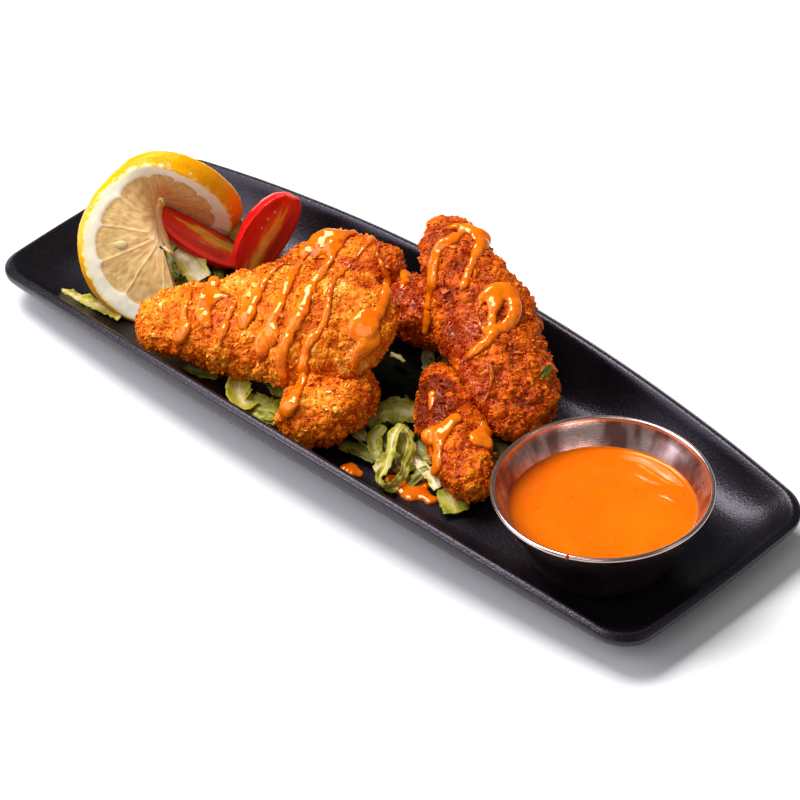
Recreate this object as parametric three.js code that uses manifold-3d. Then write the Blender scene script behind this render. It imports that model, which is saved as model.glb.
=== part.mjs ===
// A long black plate of fried chicken fingers with lettuce, tomato wedges, a twisted
// lemon slice and a steel cup of orange dipping sauce.
//
// Frame: millimetres, +Z up. The origin is the centre of the plate's flat underside,
// +X runs along the plate towards the sauce cup and +Y towards its back long side.

import * as THREE from 'three';
import { mergeVertices } from 'three/addons/utils/BufferGeometryUtils.js';
import Module from 'manifold-3d';

const wasm = await Module();
wasm.setup();

// ---------------------------------------------------------------- driving dimensions

const GAP = 0.35; // clearance between pieces that touch

const PLATE_LENGTH = 285; // corner to corner, before the ends bow out
const PLATE_END_WIDTH = 88.8;
const PLATE_SIDE_BOW = 8.6; // how far each long side bulges at its middle
const PLATE_END_BOW = 1.4;
const PLATE_CORNER = 10.5; // corner radius of the rim
const RIM_AT_CORNER = 14; // rim height over the underside
const RIM_RISE = 10.1; // extra rim height at the middle of a long side
const FLOOR = 6; // height of the inner floor
const EDGE_AT_CORNER = 3.8; // height of the upright band below the rim
const EDGE_RISE = 2.8; // what that band gains at the middle of a long side

const CUP_X = 101.2;
const CUP_Y = -9;
const CUP_HEIGHT = 26.8;
const CUP_RIM_RADIUS = 35;
const CUP_BASE_RADIUS = 23;
const CUP_SHEET = 0.9; // sheet thickness
const CUP_BEAD = 1.3; // radius of the rolled rim
const SAUCE_BELOW_RIM = 9.4;
const CUP_SIDES = 44;

const LEMON_FRONT_RADIUS = 27;
const LEMON_BACK_RADIUS = 28.8; // the slice flares towards the lemon's middle
const LEMON_THICKNESS = 7;
const LEMON_FROM = -194; // the cut slice starts and ends here, in degrees from its top
const LEMON_TO = 168;
const LEMON_INNER = 0.8; // its sections stop this far from the middle
const LEMON_BEND_FROM = -50; // one half's plane turns into the other's between these
const LEMON_BEND_TO = 24;
const LEMON_STEPS = 40;

const TOMATO_SKIN_ARC = 172; // degrees of skin on a wedge
const TOMATO_CORE_SHIFT = 0.1; // of the radius, from the axis out to the core's edge
const TOMATO_STEPS = 10;
const TOMATO_SIDES = 8;

const LETTUCE_HEIGHT = 6.5; // of the heap over the plate's floor
const LETTUCE_CLEARANCE = 1.8; // between the heap and the fingers that lie on it
const LETTUCE_COLUMNS = 26;
const LETTUCE_ROWS = 7;

// ---------------------------------------------------------------- general helpers

const rad = THREE.MathUtils.degToRad;
const lerp = THREE.MathUtils.lerp;
const smooth = THREE.MathUtils.smoothstep;
const vec = (x, y, z) => new THREE.Vector3(x, y, z);

// The level direction of an azimuth, 0 along -Y and 90 along +X, raised by an elevation.
function direction(azimuth, elevation) {
  return vec(
    Math.sin(rad(azimuth)) * Math.cos(rad(elevation)),
    -Math.cos(rad(azimuth)) * Math.cos(rad(elevation)),
    Math.sin(rad(elevation)),
  );
}

// Reads a list of evenly spaced values at u from 0 to 1, along a smooth curve.
function along(values, u) {
  const s = Math.min(u, 1 - 1e-9) * (values.length - 1);
  const i = Math.floor(s);
  const t = s - i;
  return lerp(values[i], values[Math.min(i + 1, values.length - 1)], t * t * (3 - 2 * t));
}

// A repeatable number from 0 to 1 for a pair of whole numbers.
function chance(i, j) {
  const s = Math.sin(i * 127.1 + j * 311.7) * 43758.5453;
  return s - Math.floor(s);
}

// Six times the volume inside a closed surface, below zero if its faces look inwards.
function signedVolume(points, faces) {
  let sum = 0;
  for (let i = 0; i < faces.length; i += 3) {
    const [a, b, c] = [points[faces[i]], points[faces[i + 1]], points[faces[i + 2]]];
    sum += a.dot(b.clone().cross(c));
  }
  return sum;
}

// Closes a stack of rings, all of one length, with a fan at each end. The rings may
// run either way round.
function ringSolid(rings) {
  const count = rings[0].length;
  const points = rings.flat();
  const faces = [];
  for (let i = 0; i + 1 < rings.length; i++) {
    for (let j = 0; j < count; j++) {
      const a = i * count + j;
      const b = i * count + ((j + 1) % count);
      faces.push(a, b, b + count, a, b + count, a + count);
    }
  }
  for (const end of [0, rings.length - 1]) {
    const middle = vec(0, 0, 0);
    rings[end].forEach((p) => middle.addScaledVector(p, 1 / count));
    const hub = points.push(middle) - 1;
    for (let j = 0; j < count; j++) {
      const a = end * count + j;
      const b = end * count + ((j + 1) % count);
      if (end === 0) faces.push(hub, b, a);
      else faces.push(hub, a, b);
    }
  }
  if (signedVolume(points, faces) < 0) faces.reverse();
  const geometry = new THREE.BufferGeometry().setFromPoints(points);
  geometry.setIndex(faces);
  return geometry;
}

function toSolid(geometry) {
  const bare = geometry.clone();
  bare.deleteAttribute('normal');
  bare.deleteAttribute('uv');
  const merged = mergeVertices(bare, 1e-4);
  return new wasm.Manifold(new wasm.Mesh({
    numProp: 3,
    vertProperties: new Float32Array(merged.getAttribute('position').array),
    triVerts: new Uint32Array(merged.index.array),
  }));
}

function toGeometry(solid) {
  const mesh = solid.getMesh();
  const geometry = new THREE.BufferGeometry();
  geometry.setAttribute('position', new THREE.BufferAttribute(mesh.vertProperties, 3));
  geometry.setIndex(new THREE.BufferAttribute(mesh.triVerts, 1));
  const flat = geometry.toNonIndexed();
  flat.computeVertexNormals();
  return flat;
}

// Keeps what is inside the room, where one is given, and takes the cutters away.
function cutBy(geometry, cutters, room = null) {
  let solid = toSolid(geometry);
  if (room) solid = solid.intersect(toSolid(room));
  cutters.forEach((cutter) => { solid = solid.subtract(toSolid(cutter)); });
  return toGeometry(solid);
}

const dish = new THREE.Group();

function addPiece(name, geometry, color, roughness, metalness = 0) {
  const material = new THREE.MeshStandardMaterial({ color, roughness, metalness });
  const mesh = new THREE.Mesh(geometry, material);
  mesh.name = name;
  dish.add(mesh);
}

// ---------------------------------------------------------------- plate

// Points round a rectangle with rounded corners and bowed sides, counter-clockwise.
// The inset shrinks it, and the corner radius with it.
function plateOutline(inset) {
  const hx = PLATE_LENGTH / 2 - inset;
  const hy = PLATE_END_WIDTH / 2 - inset;
  const r = Math.max(PLATE_CORNER - inset * 0.2, 5);
  const points = [];
  const side = (x0, y0, x1, y1, steps) => {
    for (let i = 0; i < steps; i++) {
      points.push([lerp(x0, x1, i / steps), lerp(y0, y1, i / steps)]);
    }
  };
  const corner = (cx, cy, start) => {
    for (let i = 0; i < 4; i++) {
      const t = start + (i / 4) * Math.PI / 2;
      points.push([cx + r * Math.cos(t), cy + r * Math.sin(t)]);
    }
  };
  side(-hx + r, -hy, hx - r, -hy, 14);
  corner(hx - r, -hy + r, -Math.PI / 2);
  side(hx, -hy + r, hx, hy - r, 5);
  corner(hx - r, hy - r, 0);
  side(hx - r, hy, -hx + r, hy, 14);
  corner(-hx + r, hy - r, Math.PI / 2);
  side(-hx, hy - r, -hx, -hy + r, 5);
  corner(-hx + r, -hy + r, Math.PI);
  return points.map(([x, y]) => {
    const u = x / hx;
    const v = y / hy;
    return { x: x + PLATE_END_BOW * (1 - v * v) * u, y: y + PLATE_SIDE_BOW * (1 - u * u) * v, u };
  });
}

// One ring of the plate. The height is a function of the rim's height and of the
// place u along the plate, from -1 to 1.
function plateRing(inset, height) {
  return plateOutline(inset).map(({ x, y, u }) => {
    const rim = RIM_AT_CORNER + RIM_RISE * (1 - u * u);
    return vec(x, y, height(rim, u));
  });
}

// The plate's inner surface is lifted by lift, to cut what rests in it.
function plateGeometry(lift = 0) {
  const band = (u) => EDGE_AT_CORNER + EDGE_RISE * (1 - u * u);
  const rings = [
    plateRing(24, () => 0),
    plateRing(21.5, () => 0),
    plateRing(20.3, () => 1.2),
    plateRing(11, (rim, u) => 1.6 + (rim - band(u)) * 0.38),
    plateRing(3.2, (rim, u) => rim - band(u) - 1.9),
    plateRing(0.5, (rim, u) => rim - band(u) + 0.6),
    plateRing(0, (rim) => rim - 1.1 + lift),
    plateRing(0.6, (rim) => rim + 0.1 + lift),
    plateRing(1.9, (rim) => rim + 0.5 + lift),
    plateRing(3.5, (rim) => rim - 0.8 + lift),
  ];
  return ringSolid([...rings, ...troughRings(lift)]);
}

// The inner wall, from just below the lip down to the floor.
function troughRings(lift) {
  const wall = [[5.4, 0.7], [7.8, 0.44], [10.8, 0.22], [14.4, 0.07], [19, 0]];
  return wall.map(([inset, share]) => (
    plateRing(inset, (rim) => FLOOR + share * (rim - FLOOR) + lift)
  ));
}

// The room inside the plate that the lettuce can fill.
function troughRoom() {
  const lid = plateRing(5.4, (rim) => rim + 5);
  return ringSolid([lid, ...troughRings(GAP)]);
}

// ---------------------------------------------------------------- chicken fingers

// A finger follows a smooth spine. At each station it has a half width, a half
// thickness and a tilt in degrees that tips its front edge down. Lobes are swellings
// at a share of the length and an angle round the section, with a size and a height.
const FINGERS = {
  front: {
    spine: [[-80, -37, 20], [-59, -25, 22], [-40, -16, 27], [-20, -8, 32], [0, 3, 37]],
    halfWidth: [15, 16.5, 18.5, 20.5, 21.5, 18],
    halfThickness: [9.5, 10, 10.5, 11, 11, 10],
    tilt: [6, 16, 24, 28, 28],
    lobes: [
      { at: 0.88, angle: -30, size: 0.13, height: 2.5 },
      { at: 0.62, angle: -15, size: 0.1, height: 2 },
    ],
    stations: 24,
    sides: 20,
  },
  back: {
    spine: [[-66, 13, 16], [-50, 22, 20], [-36, 29, 25], [-26, 33, 28]],
    halfWidth: [11, 13, 13.5, 12.5],
    halfThickness: [9.5, 10.5, 10.5, 10],
    tilt: [10, 15, 20],
    lobes: [{ at: 0.55, angle: 110, size: 0.16, height: 1.5 }],
    stations: 16,
    sides: 16,
  },
  low_front: {
    spine: [[-6, -42, 16], [-4, -31, 16.5], [-3, -20, 17], [-2, -6, 16]],
    halfWidth: [11.5, 12.5, 12, 11],
    halfThickness: [9.5, 10, 9.5, 9],
    tilt: [0, 0],
    lobes: [{ at: 0.3, angle: 20, size: 0.12, height: 1.6 }],
    stations: 16,
    sides: 16,
  },
  right: {
    spine: [[-19, 46, 45.5], [-3, 37, 42], [16, 28, 34], [35, 18.5, 26.5], [55, 8, 17.5]],
    halfWidth: [10, 12, 14, 15.5, 17.5, 15],
    halfThickness: [9, 10, 11, 11.5, 11.5, 10],
    tilt: [14, 16, 16, 14],
    lobes: [
      { at: 0.45, angle: 175, size: 0.12, height: 2.5 },
      { at: 0.2, angle: 20, size: 0.12, height: 1.5 },
    ],
    stations: 24,
    sides: 20,
  },
  middle: {
    spine: [[-36, 31, 15], [-22, 30, 18], [-8, 30, 19], [8, 32, 17]],
    halfWidth: [10, 12, 12, 10],
    halfThickness: [8, 10, 10.5, 9],
    tilt: [0, 0],
    lobes: [{ at: 0.6, angle: 30, size: 0.12, height: 2.5 }],
    stations: 14,
    sides: 14,
  },
  low_right: {
    spine: [[12, 15, 17], [24, 4, 17], [40, -9, 16], [60, -23, 14.5]],
    halfWidth: [10, 11.5, 10, 11],
    halfThickness: [8, 9.5, 8.5, 9.5],
    tilt: [0, 0],
    lobes: [{ at: 0.88, angle: 60, size: 0.14, height: 1.5 }],
    stations: 16,
    sides: 16,
  },
};

function fingerGeometry(finger, seed, grow = 0) {
  const curve = new THREE.CatmullRomCurve3(finger.spine.map((p) => vec(...p)), false, 'centripetal');
  const up = vec(0, 0, 1);
  const rings = [];
  for (let i = 1; i < finger.stations; i++) {
    const turn = (Math.PI * i) / finger.stations;
    const u = (1 - Math.cos(turn)) / 2;
    const blunt = Math.sin(turn) ** 0.62; // rounds the ends off
    const middle = curve.getPointAt(u);
    const forward = curve.getTangentAt(u);
    middle.addScaledVector(forward, grow * Math.sign(u - 0.5) * (1 - blunt));
    const side = forward.clone().cross(up).normalize();
    side.applyAxisAngle(forward, rad(along(finger.tilt, u)));
    const top = side.clone().cross(forward).normalize();
    const ring = [];
    for (let j = 0; j < finger.sides; j++) {
      const v = (2 * Math.PI * j) / finger.sides;
      const wave = 0.045 * Math.sin(3 * v + 9 * u + seed) + 0.04 * Math.sin(2 * v - 14 * u + 2.3 * seed);
      const rough = 0.06 * (chance(i + 31 * seed, j) - 0.5);
      let out = (1 + wave + rough) * blunt;
      finger.lobes.forEach((lobe) => {
        const away = Math.hypot((u - lobe.at) * 2.2, Math.sin((v - rad(lobe.angle)) / 2) * 0.9);
        out += (lobe.height / finger.halfWidth[0]) * Math.exp(-((away / (2 * lobe.size)) ** 2)) * blunt;
      });
      const a = along(finger.halfWidth, u) * out + grow;
      const b = along(finger.halfThickness, u) * out + grow;
      const c = Math.cos(v);
      const s = Math.sin(v);
      ring.push(middle.clone()
        .addScaledVector(side, a * Math.sign(c) * Math.abs(c) ** 0.92)
        .addScaledVector(top, b * Math.sign(s) * Math.abs(s) ** 0.92));
    }
    rings.push(ring);
  }
  return ringSolid(rings);
}

// ---------------------------------------------------------------- lemon

// Each half of the slice lies in a plane of its own, given by where its face looks.
// The halves share the top of the rim.
function lemonPlane(top, azimuth, elevation, roll) {
  const face = direction(azimuth, elevation);
  const right = vec(0, 0, 1).cross(face).normalize().applyAxisAngle(face, rad(roll));
  const up = face.clone().cross(right);
  const middle = top.clone().addScaledVector(up, -LEMON_FRONT_RADIUS);
  return { face, right, up, middle };
}

const LEMON_TOP = vec(-102.9, -1.3, 51.4);
const LEMON_LEFT = lemonPlane(LEMON_TOP, 44.4, 31, 0);
const LEMON_RIGHT = lemonPlane(LEMON_TOP, 27, -22, -13);

function lemonGeometry(grow = 0) {
  // The section runs from the pulp's edge to the rind: front, barrel and back.
  const half = LEMON_THICKNESS / 2;
  const section = [
    [LEMON_INNER, 0],
    [LEMON_FRONT_RADIUS - 1.2, 0],
    [LEMON_FRONT_RADIUS + grow, -0.8],
    [(LEMON_FRONT_RADIUS + LEMON_BACK_RADIUS) / 2 + 0.9 + grow, -half],
    [LEMON_BACK_RADIUS + grow, -LEMON_THICKNESS + 0.8],
    [LEMON_BACK_RADIUS - 1.4, -LEMON_THICKNESS],
    [LEMON_INNER, -LEMON_THICKNESS],
  ];
  const place = (plane, degrees, r, depth) => plane.middle.clone()
    .addScaledVector(plane.right, r * Math.sin(rad(degrees)))
    .addScaledVector(plane.up, r * Math.cos(rad(degrees)))
    .addScaledVector(plane.face, depth);
  const rings = [];
  for (let i = 0; i <= LEMON_STEPS; i++) {
    const degrees = lerp(LEMON_FROM, LEMON_TO, i / LEMON_STEPS);
    const share = smooth(degrees, LEMON_BEND_FROM, LEMON_BEND_TO);
    rings.push(section.map(([r, depth], k) => {
      const d = depth + (k < 3 ? grow : k > 3 ? -grow : 0);
      return place(LEMON_LEFT, degrees, r, d).lerp(place(LEMON_RIGHT, degrees, r, d), share);
    }));
  }
  return ringSolid(rings);
}

// ---------------------------------------------------------------- tomatoes

// A wedge of a long small tomato: skin outside, two cut faces meeting at the core.
// It lies from tail to head, and its core looks towards an azimuth and elevation.
const TOMATOES = {
  left: { tail: [-107.1, 1.3, 29.2], head: [-84.2, 19.3, 9.8], radius: 8.5, core: [113.4, 51.6] },
  right: { tail: [-80, 13, 8], head: [-73.9, 32, 35.9], radius: 10.3, core: [74, -1] },
};

function tomatoGeometry({ tail, head, radius, core }, grow = 0) {
  const from = vec(...tail);
  const axis = vec(...head).sub(from);
  const forward = axis.clone().normalize();
  const side = direction(...core);
  side.addScaledVector(forward, -side.dot(forward)).normalize();
  const top = side.clone().cross(forward);
  const edge = radius * TOMATO_CORE_SHIFT;
  const rings = [];
  for (let i = 1; i < TOMATO_STEPS; i++) {
    const turn = (Math.PI * i) / TOMATO_STEPS;
    const u = (1 - Math.cos(turn)) / 2;
    const r = radius * Math.sin(turn) ** 0.85;
    const middle = from.clone().addScaledVector(axis, u);
    const ring = [middle.clone().addScaledVector(side, edge + grow * 1.2)];
    for (let j = 0; j <= TOMATO_SIDES; j++) {
      const v = rad(180 + TOMATO_SKIN_ARC * (j / TOMATO_SIDES - 0.5));
      ring.push(middle.clone()
        .addScaledVector(side, (r + grow) * Math.cos(v) + edge * (1 - Math.sin(turn)))
        .addScaledVector(top, (r + grow) * Math.sin(v)));
    }
    rings.push(ring);
  }
  return ringSolid(rings);
}

// ---------------------------------------------------------------- sauce cup and dip

function cupGeometry(grow = 0) {
  const rim = CUP_HEIGHT - CUP_BEAD;
  const wall = CUP_RIM_RADIUS - CUP_BEAD;
  const profile = [
    [0, -grow],
    [CUP_BASE_RADIUS - 2.4 + grow, -grow],
    [CUP_BASE_RADIUS + grow, 1.6],
    [wall - 1.2 + grow, rim - 3],
    [wall - 0.3 + grow, rim - 1],
    [wall + CUP_BEAD * 0.8 + grow, rim - 0.7],
    [wall + CUP_BEAD + grow, rim + 0.2],
    [wall + CUP_BEAD * 0.6, rim + CUP_BEAD * 0.85],
    [wall - 0.2, rim + CUP_BEAD],
    [wall - CUP_SHEET - 0.2, rim + CUP_BEAD * 0.6],
    [wall - 1.2 - CUP_SHEET, rim - 3],
    [CUP_BASE_RADIUS - CUP_SHEET, 2.4],
    [CUP_BASE_RADIUS - 2.6, CUP_SHEET],
    [0, CUP_SHEET],
  ];
  const lathe = new THREE.LatheGeometry(profile.map(([r, z]) => new THREE.Vector2(r, z)), CUP_SIDES);
  return lathe.rotateX(Math.PI / 2).translate(CUP_X, CUP_Y, FLOOR + GAP);
}

// The dip fills the cup up to its level, and rises a little where it meets the wall.
function dipGeometry() {
  const level = CUP_HEIGHT - SAUCE_BELOW_RIM;
  const top = CUP_HEIGHT - CUP_BEAD - 3;
  const innerWall = (z) => lerp(
    CUP_BASE_RADIUS - CUP_SHEET,
    CUP_RIM_RADIUS - CUP_BEAD - 1.2 - CUP_SHEET,
    (z - 2.4) / (top - 2.4),
  ) - GAP;
  const profile = [
    [0, CUP_SHEET + GAP],
    [CUP_BASE_RADIUS - 3.2, CUP_SHEET + GAP],
    [innerWall(2.9), 2.9],
    [innerWall(level + 0.4), level + 0.4],
    [innerWall(level + 0.4) - 1.6, level - 0.1],
    [14, level],
    [0, level],
  ];
  const lathe = new THREE.LatheGeometry(profile.map(([r, z]) => new THREE.Vector2(r, z)), CUP_SIDES);
  return lathe.rotateX(Math.PI / 2).translate(CUP_X, CUP_Y, FLOOR + GAP);
}

// ---------------------------------------------------------------- lettuce

// A low heap of shreds along the plate: its half width, height and sideways shift
// change along its length, and its edge and top are ragged.
const LETTUCE = {
  from: -112,
  to: 66,
  front: [4, -14, -36, -40, -41, -41, -41, -38, -32],
  back: [16, 26, 32, 34, 34, 32, 24, 6, -18],
  height: [0.5, 0.8, 0.8, 0.9, 1, 0.95, 0.9, 0.9, 0.5],
};

function lettuceGeometry() {
  const rings = [];
  for (let i = 0; i <= LETTUCE_COLUMNS; i++) {
    const u = i / LETTUCE_COLUMNS;
    const x = lerp(LETTUCE.from, LETTUCE.to, u);
    const front = along(LETTUCE.front, u) + 4 * (chance(i, 1) - 0.5);
    const back = along(LETTUCE.back, u) + 5 * (chance(i, 2) - 0.5);
    const height = LETTUCE_HEIGHT * along(LETTUCE.height, u);
    const top = [];
    const under = [];
    for (let j = 0; j <= LETTUCE_ROWS; j++) {
      const v = j / LETTUCE_ROWS;
      const dome = Math.sqrt(Math.max(1 - (2 * v - 1) ** 4, 0));
      const ragged = 0.65 + 0.6 * chance(i, j + 10);
      const y = lerp(front, back, v);
      top.push(vec(x, y, FLOOR + 1.2 + height * dome * ragged));
      under.push(vec(x, y, 1));
    }
    rings.push([...under, ...top.reverse()]);
  }
  return ringSolid(rings);
}

// ---------------------------------------------------------------- the whole dish

const FINGER_NAMES = Object.keys(FINGERS);
const fingerSeed = (name) => FINGER_NAMES.indexOf(name) + 1;
const grownFinger = (name) => fingerGeometry(FINGERS[name], fingerSeed(name), GAP);

// Each piece is cut by the pieces that press on it, which keep their full shape.
const plateCutter = plateGeometry(GAP);
const cupCutter = cupGeometry(GAP);
const lemonCutter = lemonGeometry(GAP);
const tomatoCutters = Object.values(TOMATOES).map((t) => tomatoGeometry(t, GAP));
const fingerCutters = Object.fromEntries(FINGER_NAMES.map((n) => [n, grownFinger(n)]));

const PRESSED_BY = {
  front: [],
  right: ['front'],
  back: ['front', 'right'],
  middle: ['front', 'right', 'back'],
  low_front: ['front', 'middle', 'right'],
  low_right: ['right', 'low_front', 'middle'],
};

addPiece('plate', plateGeometry(), 0x1c1a20, 0.42);
for (const name of FINGER_NAMES) {
  const cutters = [plateCutter, cupCutter, ...PRESSED_BY[name].map((n) => fingerCutters[n])];
  const geometry = fingerGeometry(FINGERS[name], fingerSeed(name));
  addPiece('finger_' + name, cutBy(geometry, cutters), 0xc4661a, 0.75);
}
const allFingers = Object.values(fingerCutters);
addPiece('lemon_twist', cutBy(lemonGeometry(), [plateCutter, ...allFingers]), 0xe8c53a, 0.5);
Object.entries(TOMATOES).forEach(([name, tomato], i) => {
  const others = tomatoCutters.slice(i + 1);
  const cutters = [plateCutter, lemonCutter, ...others, ...allFingers];
  addPiece('tomato_wedge_' + name, cutBy(tomatoGeometry(tomato), cutters), 0xb5161a, 0.3);
});
const hollows = FINGER_NAMES.map((name) => {
  const coarse = { ...FINGERS[name], stations: 10, sides: 10 };
  return fingerGeometry(coarse, fingerSeed(name), LETTUCE_CLEARANCE);
});
const lettuceCutters = [cupCutter, lemonCutter, ...tomatoCutters, ...hollows];
addPiece('lettuce_bed', cutBy(lettuceGeometry(), lettuceCutters, troughRoom()), 0x9aa94f, 0.6);
addPiece('sauce_cup', cupGeometry(), 0xa9a5a8, 0.22, 1);
addPiece('dip_sauce', dipGeometry(), 0xf08010, 0.3);

export default dish;
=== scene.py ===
import math

import bmesh
import bpy
import numpy as np
from mathutils import Matrix, Vector
from mathutils.bvhtree import BVHTree


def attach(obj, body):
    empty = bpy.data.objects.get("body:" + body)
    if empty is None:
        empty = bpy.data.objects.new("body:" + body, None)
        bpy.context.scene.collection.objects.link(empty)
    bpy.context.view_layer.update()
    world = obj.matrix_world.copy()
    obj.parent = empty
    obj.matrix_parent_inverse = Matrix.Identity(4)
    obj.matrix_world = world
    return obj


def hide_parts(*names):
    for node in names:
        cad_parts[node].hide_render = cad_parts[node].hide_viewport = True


# A black plate of fried chicken fingers with lettuce, tomato, a twisted lemon slice and
# a steel cup of orange dip. All shapes are worked out in millimetres in the CAD frame.

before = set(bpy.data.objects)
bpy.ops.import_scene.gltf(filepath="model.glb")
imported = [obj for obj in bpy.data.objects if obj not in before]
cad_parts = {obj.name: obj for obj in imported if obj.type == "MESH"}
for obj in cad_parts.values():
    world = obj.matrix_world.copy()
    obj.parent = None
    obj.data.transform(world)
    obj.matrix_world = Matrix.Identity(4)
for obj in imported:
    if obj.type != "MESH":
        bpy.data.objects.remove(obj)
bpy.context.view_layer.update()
MM = 0.001

# ------------------------------------------------------------------ camera of the photo

FRAME_PIXELS = 800
LENS = 189.0
SENSOR = 36.0
FOCAL = FRAME_PIXELS * LENS / SENSOR
AZIMUTH = math.radians(44.413)
ELEVATION = math.radians(39.0334)
ROLL = math.radians(-1.269)
TARGET = np.array([-2.727, 8.401, 0.0])
DISTANCE = 1384.26

BACKWARD = np.array([
    math.sin(AZIMUTH) * math.cos(ELEVATION),
    -math.cos(AZIMUTH) * math.cos(ELEVATION),
    math.sin(ELEVATION),
])
EYE = TARGET + BACKWARD * DISTANCE
LEVEL = np.cross(-BACKWARD, [0, 0, 1])
LEVEL /= np.linalg.norm(LEVEL)
ABOVE = np.cross(LEVEL, -BACKWARD)
RIGHT = LEVEL * math.cos(ROLL) + ABOVE * math.sin(ROLL)
UP = -LEVEL * math.sin(ROLL) + ABOVE * math.cos(ROLL)


def photo_ray(x, y):
    """The direction in which the photo's camera sees the pixel (x, y)."""
    half = FRAME_PIXELS / 2
    d = -BACKWARD + RIGHT * (x - half) / FOCAL - UP * (y - half) / FOCAL
    return d / np.linalg.norm(d)


def at_height(x, y, z):
    """The point of the given height that shows at the pixel (x, y)."""
    d = photo_ray(x, y)
    return EYE + d * (z - EYE[2]) / d[2]


# ------------------------------------------------------------------ noise in numpy


HASH_PRIMES = (73856093, 19349663, 83492791, 2654435761)
HASH_MIXER = 1274126177


def lattice(*place):
    """A number from 0 to 1 that looks random, for each whole i, j, k and a seed."""
    i, j, k, seed = (value * prime for value, prime in zip(place, HASH_PRIMES))
    h = i ^ j ^ k ^ seed
    h = (h ^ (h >> 13)) * HASH_MIXER
    h = h ^ (h >> 16)
    return (h & 0xFFFFFF) / float(0xFFFFFF)


def noise(p, size, seed=0):
    """Smooth noise from -1 to 1 with features of about the given size."""
    q = np.asarray(p, float) / size
    i = np.floor(q).astype(np.int64)
    f = q - i
    f = f * f * (3 - 2 * f)
    total = np.zeros(len(q))
    for a in (0, 1):
        wx = f[:, 0] if a else 1 - f[:, 0]
        for b in (0, 1):
            wy = f[:, 1] if b else 1 - f[:, 1]
            for c in (0, 1):
                wz = f[:, 2] if c else 1 - f[:, 2]
                total += wx * wy * wz * lattice(i[:, 0] + a, i[:, 1] + b, i[:, 2] + c, seed)
    return total * 2 - 1


def fbm(p, size, octaves, seed=0):
    """Noise with finer and finer noise added, each at half the strength of the last."""
    weights = [0.5**k for k in range(octaves)]
    total = sum(weight * noise(p, size / 2**k, seed + 17 * k) for k, weight in enumerate(weights))
    return total / sum(weights)


def cells(p, size, seed=0):
    """Distance to the nearest cell centre, the gap to the second nearest, a random number
    of the cell, and the vector from the cell's centre, all in cell sizes."""
    q = np.asarray(p, float) / size
    i = np.floor(q).astype(np.int64)
    best = np.full(len(q), 9.0)
    second = np.full(len(q), 9.0)
    value = np.zeros(len(q))
    offset = np.zeros((len(q), 3))
    for a in (-1, 0, 1):
        for b in (-1, 0, 1):
            for c in (-1, 0, 1):
                cell = i + (a, b, c)
                args = (cell[:, 0], cell[:, 1], cell[:, 2])
                centre = cell + np.stack([lattice(*args, seed + s) for s in (1, 2, 3)], 1)
                d = np.linalg.norm(q - centre, axis=1)
                nearer = d < best
                second = np.where(nearer, best, np.minimum(second, d))
                best = np.where(nearer, d, best)
                value = np.where(nearer, lattice(*args, seed + 9), value)
                offset = np.where(nearer[:, None], q - centre, offset)
    return best, second - best, value, offset


def unit(v):
    """Vectors cut or stretched to a length of one."""
    v = np.asarray(v, float)
    return v / np.maximum(np.linalg.norm(v, axis=-1, keepdims=True), 1e-9)


def smoothstep(x, low, high):
    """A soft step from 0 at low to 1 at high."""
    t = np.clip((x - low) / (high - low), 0, 1)
    return t * t * (3 - 2 * t)


def spline(points, count):
    """A smooth line through the points, in count evenly spread steps of the parameter."""
    p = np.asarray(points, float)
    p = np.vstack([2 * p[0] - p[1], p, 2 * p[-1] - p[-2]])
    out = []
    for s in np.linspace(0, len(p) - 3 - 1e-9, count):
        i = int(s)
        t = s - i
        a, b, c, d = p[i], p[i + 1], p[i + 2], p[i + 3]
        out.append(0.5 * (2 * b + (c - a) * t + (2 * a - 5 * b + 4 * c - d) * t * t
                          + (3 * b - a - 3 * c + d) * t**3))
    return np.array(out)


# ------------------------------------------------------------------ meshes


def build(name, points, faces, look, smooth=True, marks=None, replaced=()):
    """Makes a piece of the dish from points in millimetres. Marks are values for its look."""
    mesh = bpy.data.meshes.new(name)
    faces = faces.tolist() if isinstance(faces, np.ndarray) else faces
    mesh.from_pydata((np.asarray(points, float) * MM).tolist(), [], faces)
    mesh.update()
    for key, values in (marks or {}).items():
        layer = mesh.attributes.new(key, "FLOAT", "POINT")
        layer.data.foreach_set("value", np.asarray(values, np.float32))
    mesh.polygons.foreach_set("use_smooth", np.broadcast_to(smooth, len(mesh.polygons)).tolist())
    mesh.materials.append(look)
    piece = bpy.data.objects.new(name, mesh)
    bpy.context.scene.collection.objects.link(piece)
    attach(piece, "root")
    if replaced:
        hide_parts(*replaced)


def node_mesh(name):
    """Points in millimetres and triangles of a CAD node."""
    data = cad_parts[name].data
    bm = bmesh.new()
    bm.from_mesh(data)
    bmesh.ops.remove_doubles(bm, verts=bm.verts, dist=1e-6)
    bmesh.ops.triangulate(bm, faces=bm.faces)
    points = np.array([v.co for v in bm.verts]) / MM
    faces = np.array([[v.index for v in f.verts] for f in bm.faces])
    bm.free()
    return points, faces


def arrays(mesh):
    """Points in millimetres and quads of a mesh of quads."""
    points = np.zeros(len(mesh.vertices) * 3)
    mesh.vertices.foreach_get("co", points)
    corners = np.zeros(len(mesh.loops), np.int64)
    mesh.loops.foreach_get("vertex_index", corners)
    sizes, starts = np.zeros((2, len(mesh.polygons)), np.int64)
    mesh.polygons.foreach_get("loop_total", sizes)
    mesh.polygons.foreach_get("loop_start", starts)
    quads = corners[starts[sizes == 4][:, None] + np.arange(4)]
    return points.reshape(-1, 3) / MM, quads


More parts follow.
